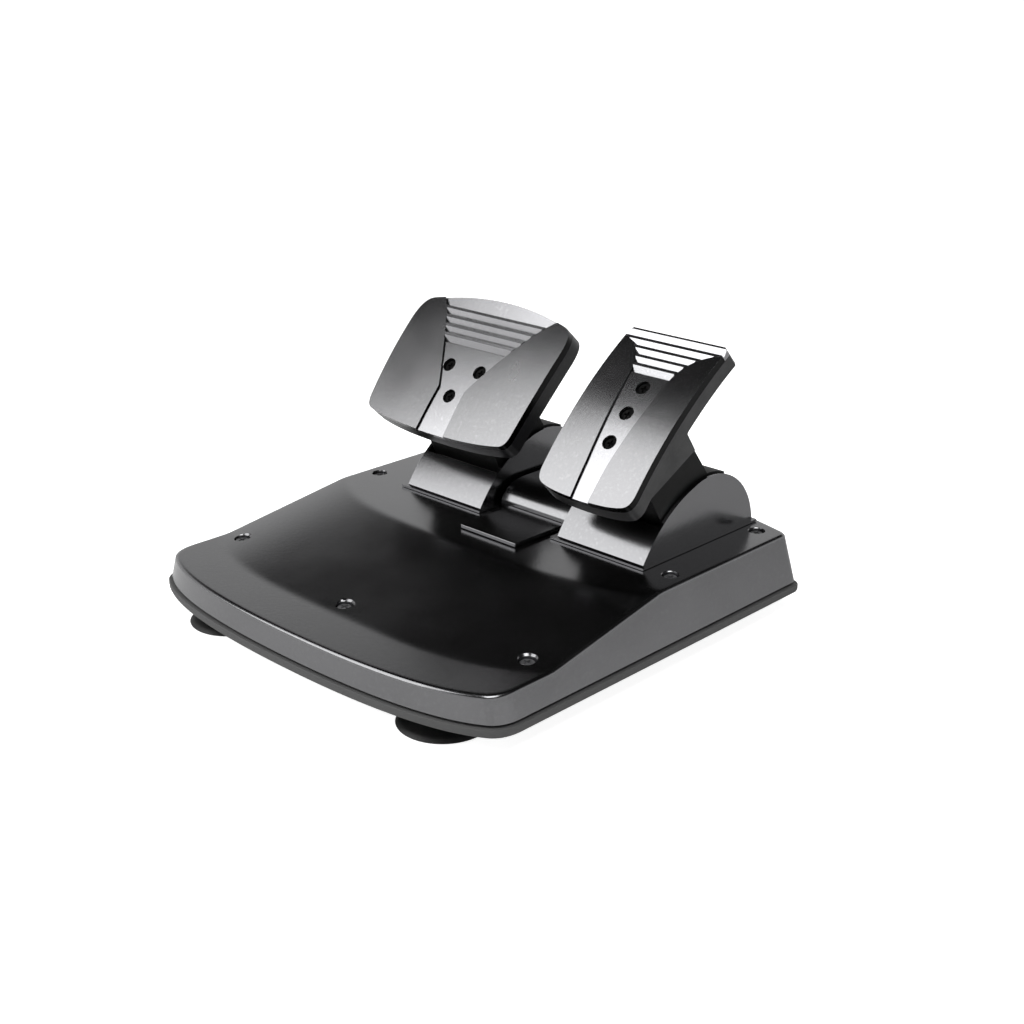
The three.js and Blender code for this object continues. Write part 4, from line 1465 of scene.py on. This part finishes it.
# ---- Pedals --------------------------------------------------------------------------------
@dataclass
class PedalFace:
    """A face that bulges a little towards the driver.

    u runs across it, v up its chord from the foot, and h stands out from its curved surface.
    """

    REACH = 70.0

    centre: float
    foot: Point
    head: Point
    bulge: float

    def __post_init__(self) -> None:
        """Works out the curve's frame and centre."""
        base = Vector(self.foot)
        chord = Vector(self.head) - base
        self.length = chord.length
        self.up = chord.normalized()
        self.out = Vector((-self.up.y, self.up.x))
        self.radius = (self.length**2 / 4 + self.bulge**2) / (2 * self.bulge)
        self.hub = base + self.up * (self.length / 2) + self.out * (self.bulge - self.radius)

    @property
    def frame(self) -> Matrix:
        """The frame of u, v and the way out, with its origin at the foot.

        Returns:
            The frame, for points (u, v, h) off the chord.
        """
        return Matrix((
            (1, 0, 0, self.centre),
            (0, self.up.x, self.out.x, self.foot[0]),
            (0, self.up.y, self.out.y, self.foot[1]),
            (0, 0, 0, 1),
        ))

    def at(self, v: float, h: float) -> Point:
        """A point over the curved surface.

        Args:
            v: Place up the chord.
            h: How far the point stands out.

        Returns:
            The point (y, z).
        """
        sine = (v - self.length / 2) / self.radius
        reach = self.radius + h
        point = self.hub + self.up * reach * sine + self.out * reach * math.sqrt(1 - sine * sine)
        return (point.x, point.y)

    def flat(self, v: float, h: float) -> Point:
        """A point over the flat chord.

        Args:
            v: Place up the chord.
            h: How far the point stands out.

        Returns:
            The point (y, z).
        """
        point = Vector(self.foot) + self.up * v + self.out * h
        return (point.x, point.y)

    def run(self, v0: float, v1: float, h: float, steps: int = 30) -> Outline:
        """Points up the curved surface.

        Args:
            v0: Where they start.
            v1: Where they end.
            h: How far they stand out from the surface.
            steps: Number of stretches.

        Returns:
            Points (y, z).
        """
        return [self.at(v0 + (v1 - v0) * i / steps, h) for i in range(steps + 1)]

    @property
    def wide(self) -> Point:
        """Two ends along X that are clear of both sides of the pedal."""
        return (self.centre - self.REACH, self.centre + self.REACH)

    def band(self, v0: float, v1: float, h0: float, h1: float) -> Solid:
        """A curved slab over or under the surface, wider than the pedal.

        Args:
            v0: Where it starts.
            v1: Where it ends.
            h0: Its lower side.
            h1: Its upper side.

        Returns:
            The solid.
        """
        return Solid.side_view(self.run(v0, v1, h1) + self.run(v0, v1, h0)[::-1], *self.wide)

    def column(self, outline: Outline, low: float = -60, high: float = 20) -> Solid:
        """A (u, v) outline extruded square to the chord.

        Args:
            outline: The outline.
            low: Where the extrusion starts.
            high: Where it ends.

        Returns:
            The solid.
        """
        return Solid.extruded(outline, low, high, self.frame)


@dataclass
class Pedal:
    """A pedal: its arm, shell, two face plates, ribbed insert, face screws and spring.

    rim and insert are right halves, in the face's u and v. gusset is a (v, h) outline off the chord.
    """

    side: str
    face: PedalFace
    rim: Outline
    insert: Outline
    top: float
    rib_start: float
    rib_pitch: float
    rib_end: float
    plate_top: float
    holes: Outline
    neck: Point
    gusset: Outline = field(default_factory=list)
    ribs: int = 5
    rib_peak: float = 0.3
    rib_root: float = -2.2
    rib_crest: float = 1.9
    insert_face: float = -1.2
    shell_front: float = -4.2
    shell_wall: float = 2.3
    skirt: float = 12.3
    hole_radius: float = 4.1
    recess: float = 1.1
    pivot: Point = (76.75, 39.0)
    drum_radius: float = 39.0
    arm_half: float = 26.4
    arm_wall: float = 3.0
    wire: float = 0.8
    coil_turns: float = 5.0
    coil_keep: float = 0.5

    @property
    def body(self) -> str:
        """The CAD body that the pedal's pieces ride on."""
        return f"{self.side}_pedal"

    def _holes(self, radius: float) -> list[Solid]:
        """Round bars through the face holes, to cut away.

        Args:
            radius: Their radius.

        Returns:
            One for each hole.
        """
        return [self.face.column(circle(radius, 40, at), -16) for at in self.holes]

    def shell(self) -> None:
        """Builds the hollow shell behind the face."""
        face, top = self.face, self.top
        start = self.gusset[-1][0] if self.gusset else -10
        side = face.run(-10, top + 6, self.shell_front) + face.run(start, top + 6, -self.skirt)[::-1]
        side += [face.flat(v, h) for v, h in reversed(self.gusset)]
        whole = face.column(mirrored(self.rim)).meet(Solid.side_view(side, *face.wide))
        share = 1 - self.shell_wall / max(u for u, _ in self.rim)
        inner = [
            (u * share, v + self.shell_wall if v < top / 2 else v - self.shell_wall)
            for u, v in self.rim
        ]
        hollow = face.column(mirrored(inner)).meet(
            face.band(-20, top + 20, -50, self.shell_front - self.shell_wall)
        )
        whole.cut(hollow, *self._holes(2.0), *self._side_recesses())
        whole.softened(0.6, 3, 40)
        whole.piece(f"{self.side}_pedal_shell", SHELL_PLASTIC, self.body, f"{self.side}_shell")

    def _side_recesses(self) -> list[Solid]:
        """Shallow steps that set the gusset's sides in from the skirt.

        Returns:
            The solids to cut away: none where there is no gusset.
        """
        if not self.gusset:
            return []
        face, depth = self.face, -self.skirt - 0.3
        profile = face.run(-20, 70, depth) + [face.flat(70, -60), face.flat(-20, -60)]
        reach = max(u for u, _ in self.rim) - self.recess
        return [
            Solid.side_view(profile, *sorted((face.centre + s * reach, face.centre + s * 60)))
            for s in (-1, 1)
        ]

    def plates(self) -> None:
        """Builds the two face plates."""
        face = self.face
        for name, x in (("left", (-80, -1)), ("right", (1, 80))):
            plate = face.column(mirrored(self.rim))
            plate.meet(face.band(-20, self.plate_top, self.shell_front + GAP, 0))
            wider = [(0 if u == 0 else u + GAP, v) for u, v in self.insert]
            plate.cut(face.column(mirrored(wider)))
            plate.meet(Solid.block((face.centre + x[0], face.centre + x[1]), (-50, 200), (0, 200)))
            plate.softened(0.55, 3, 40)
            label = f"{self.side}_{name}"
            plate.piece(f"{label}_face_plate", PLATE_PAINT, self.body, f"{label}_plate")

    def ribbed_insert(self) -> None:
        """Builds the pale centre strip, stepped across its upper part."""
        face, front = self.face, self.face.run(-10, self.rib_start, self.insert_face)
        for i in range(self.ribs):
            low = self.rib_start + i * self.rib_pitch
            high = self.rib_end if i == self.ribs - 1 else low + self.rib_pitch
            front += [face.at(low, self.rib_root), face.at(high - self.rib_crest, self.rib_peak)]
            front += [face.at(high - 0.15, self.rib_peak)]
        back = face.run(-10, self.top + 4, self.shell_front + GAP)[::-1]
        strip = Solid.side_view(front + back, *face.wide)
        strip.meet(face.column(mirrored(self.insert)))
        strip.meet(face.column(mirrored(self.rim)))
        strip.cut(*self._holes(self.hole_radius))
        strip.softened(0.22, 2, 30)
        strip.piece(f"{self.side}_centre_strip", INSERT_SILVER, self.body, f"{self.side}_insert")

    def face_screws(self) -> None:
        """Builds the screws that sit deep in the face holes."""
        seats = []
        for u, v in self.holes:
            y, z = self.face.at(v, self.shell_front + GAP)
            seats.append((u, v, (Vector((y, z)) - Vector(self.face.flat(v, 0))).dot(self.face.out)))
        screws = Repeater.run(
            Solid.points(seats), Repeater.screws(), Head_Radius=3.6, Head_Height=1.3, Slot_Length=4.0,
            Material=HOLE_BLACK.material(),
        )
        screws.thing.data.transform(self.face.frame)
        nodes = [f"{self.side}_face_screw_{i + 1}" for i in range(len(seats))]
        screws.piece(f"{self.side}_face_screws", HOLE_BLACK, self.body, *nodes, sharp=30)

    def _arm_side(self, inset: float) -> Solid:
        """A round shield about the shaft, with a neck up to the shell.

        Args:
            inset: How much smaller than the arm it is all round, for its hollow.

        Returns:
            The solid.
        """
        shelf = self.shell_front - self.shell_wall - GAP - inset
        y, z = self.pivot
        x = (self.face.centre - self.arm_half + inset, self.face.centre + self.arm_half - inset)
        drum = self.drum_radius
        shield = [self.pivot] + arc(self.pivot, drum - inset, 68 - inset, 196 + inset, 64)
        neck = [
            (y - drum + 6 + inset, z + 16 - inset),
            (y, z + 5),
            (y + 1 - inset * 1.3, z + drum - 2 - inset),
            self.face.at(self.neck[1] - inset, shelf),
            self.face.at(self.neck[0] + inset, shelf),
        ]
        return Solid.side_view(shield, *x).join(Solid.side_view(neck, *x))

    def arm(self) -> None:
        """Builds the arm with its round shield."""
        y, z = self.pivot
        x = (self.face.centre - self.arm_half, self.face.centre + self.arm_half)
        body = self._arm_side(0).cut(self._arm_side(self.arm_wall))
        skirt = arc(self.pivot, 35, 40, 72, 16) + arc(self.pivot, 32.5, 72, 40, 16)
        body.join(
            Solid.side_view(skirt, *x),
            Solid.side_view(circle(8, 40, self.pivot), *x),
            Solid.block((self.face.centre - 15, self.face.centre + 15), (y + 3, y + 26), (z - 6, z - 1)),
        )
        body.cut(Solid.side_view(circle(4.3, 40, self.pivot), x[0] - 5, x[1] + 5), *self._holes(2.0))
        body.softened(0.6, 2, 40)
        body.piece(f"{self.side}_pedal_arm", ARM_BLACK, self.body, f"{self.side}_arm")

    def return_spring(self) -> None:
        """Builds the coil spring under the lever, as a fixed piece on the base: it does not shorten as the
        pedal goes down.
        """
        node = f"{self.side}_return_spring"
        low, high = (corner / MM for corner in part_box(node))
        foot = Vector(((low.x + high.x) / 2, (low.y + high.y) / 2, low.z + self.wire))
        coil = Repeater.run(
            Solid.points([(0, 0, 0)]), Repeater.coil(), Turns=self.coil_turns, Wire_Radius=self.wire,
            Radius=(high.x - low.x) / 2 - self.wire, Height=high.z - low.z - 2 * self.wire,
            Material=SHAFT_STEEL.material(),
        )
        coil.thing.data.transform(Matrix.Translation(foot))
        coil.piece(f"{self.side}_return_coil", SHAFT_STEEL, "base", node)
        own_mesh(coil.thing)

    def build(self) -> None:
        """Builds every piece of the pedal."""
        self.return_spring()
        self.arm()
        self.shell()
        self.plates()
        self.ribbed_insert()
        self.face_screws()


def accelerator() -> Pedal:
    """Sets out the narrow accelerator on the right.

    Returns:
        The pedal, not built yet.
    """
    rim = bezier((0, -5.2), (20, -5.2), (27, -2.4), 12)
    rim += bezier((27, -2.4), (30.6, -0.9), (30.9, 5), 8)[1:]
    rim += [(31.3, 60), (31.3, 95), (29.6, 96.8), (0, 96.8)]
    insert = [(0, -6), (5.4, -6), (6.4, 15)]
    insert += bezier((6.4, 15), (9, 42), (12.6, 70), 12)[1:]
    insert += bezier((12.6, 70), (15.5, 86), (31.3, 91), 14)[1:]
    insert += [(32, 98), (0, 98)]
    return Pedal(
        "accelerator", PedalFace(64.6, (10.05, 79.5), (77.75, 140.8), 4), rim, insert,
        top=96.8, rib_start=69.8, rib_pitch=5.4, rib_end=97.4, plate_top=91,
        holes=[(0, 28), (0, 45.6), (0, 62)], neck=(14, 52),
        gusset=[(-7, -13.4), (9.7, -11.5), (47.9, -22), (49.7, -8.4)],
    )


def brake() -> Pedal:
    """Sets out the wide brake on the left.

    Returns:
        The pedal, not built yet.
    """
    rim = bezier((0, -7.4), (32, -7.4), (50, -3.6), 14)
    rim += bezier((50, -3.6), (54.6, -2.4), (55, 4), 8)[1:]
    rim += bezier((55, 4), (57.2, 30), (57.6, 56), 12)[1:]
    rim += bezier((57.6, 56), (57.6, 69.6), (50.5, 71.6), 10)[1:]
    rim += bezier((50.5, 71.6), (26, 78.4), (0, 78.4), 14)[1:]
    insert = [(0, -9), (10.4, -9), (9.7, 20)]
    insert += bezier((9.7, 20), (20, 41), (34, 63), 12)[1:]
    insert += bezier((34, 63), (40, 71.5), (46, 76), 6)[1:]
    insert += [(46, 80), (0, 80)]
    return Pedal(
        "brake", PedalFace(-50.3, (17.75, 88.5), (64.25, 137.8), 1.5), rim, insert,
        top=78.4, rib_start=46.3, rib_pitch=5.6, rib_end=82.4, plate_top=76,
        holes=[(-11.7, 33.6), (11.7, 33.6), (0, 16)], neck=(8, 46),
    )


# ---- Workings ------------------------------------------------------------------------------
class Workings:
    """The pieces inside, which keep their CAD shapes and get real finishes."""

    FINISHES: dict[str, Finish] = {
        "circuit_board": BOARD_GREEN,
        "sensor_bracket": GEAR_BLACK,
        "_toothed_sector": GEAR_BLACK,
        "_sensor_pinion": GEAR_BLACK,
        "_sensor": GEAR_BLACK,
        "_stop": CUP_RUBBER,
    }

    def build(self, nodes: dict[str, bpy.types.Object]) -> None:
        """Dresses each CAD node that is still shown.

        Args:
            nodes: The CAD nodes by name.
        """
        for name, thing in nodes.items():
            if thing.hide_render:
                continue
            ending = next(end for end in self.FINISHES if name.endswith(end))
            dress(thing, self.FINISHES[ending])
            LOG.info("%s keeps its CAD shape", name)


# ---- Studio --------------------------------------------------------------------------------
@dataclass
class Studio:
    """Plain pale floor, soft light and the camera."""

    # Brightness from straight down (0) to straight up (1), with the horizon near the middle.
    SKY = ((0.0, 1.0), (0.2, 0.9), (0.37, 0.75), (0.43, 0.65), (0.5, 0.02), (1.0, 0.01))
    FLOOR_REACH = 6.0
    FLOOR_GLOW = 0.86  # keeps the floor pale to the camera where the lamps don't reach
    SENSOR_WIDTH = 36.0

    azimuth: float = 44.0
    elevation: float = 21.0
    distance: float = 0.8629
    target: tuple[float, float, float] = (-0.0166, 0.04345, 0.037)
    lens: float = 54.8

    def sky(self) -> None:
        """Adds a pale band round the horizon under a dark ceiling."""
        world = bpy.data.worlds.new("studio")
        bpy.context.scene.world = world
        world.use_nodes = True
        nodes, links = world.node_tree.nodes, world.node_tree.links
        place = nodes.new("ShaderNodeTexCoord")
        split = nodes.new("ShaderNodeSeparateXYZ")
        links.new(place.outputs["Generated"], split.inputs[0])
        ramp = nodes.new("ShaderNodeValToRGB")
        for i, (at, level) in enumerate(self.SKY):
            stop = ramp.color_ramp.elements[i] if i < 2 else ramp.color_ramp.elements.new(at)
            stop.position = at
            stop.color = (level, level, level, 1)
        links.new(split.outputs["Z"], ramp.inputs["Fac"])
        light = nodes["Background"]
        light.inputs["Strength"].default_value = 1.0
        links.new(ramp.outputs["Color"], light.inputs["Color"])
        backdrop = nodes.new("ShaderNodeBackground")
        backdrop.inputs["Color"].default_value = (1, 1, 1, 1)
        path = nodes.new("ShaderNodeLightPath")
        choose = nodes.new("ShaderNodeMixShader")
        links.new(path.outputs["Is Camera Ray"], choose.inputs["Fac"])
        links.new(light.outputs[0], choose.inputs[1])
        links.new(backdrop.outputs[0], choose.inputs[2])
        links.new(choose.outputs[0], nodes["World Output"].inputs["Surface"])

    def floor(self) -> None:
        """Adds a plain pale floor."""
        mesh = bpy.data.meshes.new("floor")
        reach = self.FLOOR_REACH
        corners = [(-reach, -reach, 0), (reach, -reach, 0), (reach, reach, 0), (-reach, reach, 0)]
        mesh.from_pydata(corners, [], [[0, 1, 2, 3]])
        plane = bpy.data.objects.new("floor", mesh)
        bpy.context.scene.collection.objects.link(plane)
        material = bpy.data.materials.new("floor_paper")
        material.use_nodes = True
        shader = material.node_tree.nodes["Principled BSDF"]
        shader.inputs["Base Color"].default_value = (0.9, 0.9, 0.9, 1)
        shader.inputs["Roughness"].default_value = 0.8
        shader.inputs["Emission Color"].default_value = (1, 1, 1, 1)
        path = material.node_tree.nodes.new("ShaderNodeLightPath")
        seen = path.outputs["Is Camera Ray"]
        glow = worked(material.node_tree, "MULTIPLY", seen, self.FLOOR_GLOW)
        feed(material.node_tree, shader.inputs["Emission Strength"], glow)
        mesh.materials.append(material)

    @staticmethod
    def _aimed(at: Vector, way: Vector) -> Matrix:
        """The frame of a lamp or camera.

        Args:
            at: Where it stands.
            way: The way it looks.

        Returns:
            The frame.
        """
        return Matrix.Translation(at) @ way.to_track_quat("-Z", "Y").to_matrix().to_4x4()

    def lamp(self, name: str, at: Vector, size: tuple[float, float], power: float) -> None:
        """Adds a soft lamp that faces the object.

        Args:
            name: Its name.
            at: Where it stands, in metres.
            size: Its width and height, in metres.
            power: Its power, in watts.
        """
        light = bpy.data.lights.new(name, "AREA")
        light.shape = "RECTANGLE"
        light.size, light.size_y = size
        light.energy = power
        thing = bpy.data.objects.new(name, light)
        bpy.context.scene.collection.objects.link(thing)
        thing.matrix_world = self._aimed(at, Vector(self.target) - at)

    def camera(self) -> None:
        """Adds the camera at its viewing angle."""
        turn, rise = math.radians(self.azimuth), math.radians(self.elevation)
        back = Vector((
            math.sin(turn) * math.cos(rise), -math.cos(turn) * math.cos(rise), math.sin(rise)
        ))
        eye = bpy.data.cameras.new("camera")
        eye.lens = self.lens
        eye.sensor_width = self.SENSOR_WIDTH
        eye.clip_start = 0.01
        thing = bpy.data.objects.new("camera", eye)
        bpy.context.scene.collection.objects.link(thing)
        spot = Vector(self.target) + back * self.distance
        thing.matrix_world = self._aimed(spot, -back)
        bpy.context.scene.camera = thing

    def build(self) -> None:
        """Sets up the light, floor and camera."""
        self.sky()
        self.floor()
        self.camera()
        self.lamp("overhead", Vector((0.6, -0.3, 1.6)), (0.9, 0.9), 16.0)
        self.lamp("softbox", Vector((-0.6, -0.84, 0.84)), (1.0, 1.0), 11.0)
        bpy.context.scene.view_settings.view_transform = "Standard"


# ---- The whole unit ------------------------------------------------------------------------
def main() -> None:
    """Builds the pedal unit round its CAD frame."""
    logging.basicConfig(level=logging.INFO, format="%(message)s")
    for thing in list(bpy.data.objects):
        bpy.data.objects.remove(thing)
    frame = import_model()
    Studio().build()
    Base().build()
    HingeHousing("brake", -50.3).build()
    HingeHousing("accelerator", 64.6).build()
    CentreBridge().build()
    brake().build()
    accelerator().build()
    Workings().build(frame["nodes"])
    LOG.info("sizes written")


if __name__ == "__main__":
    main()
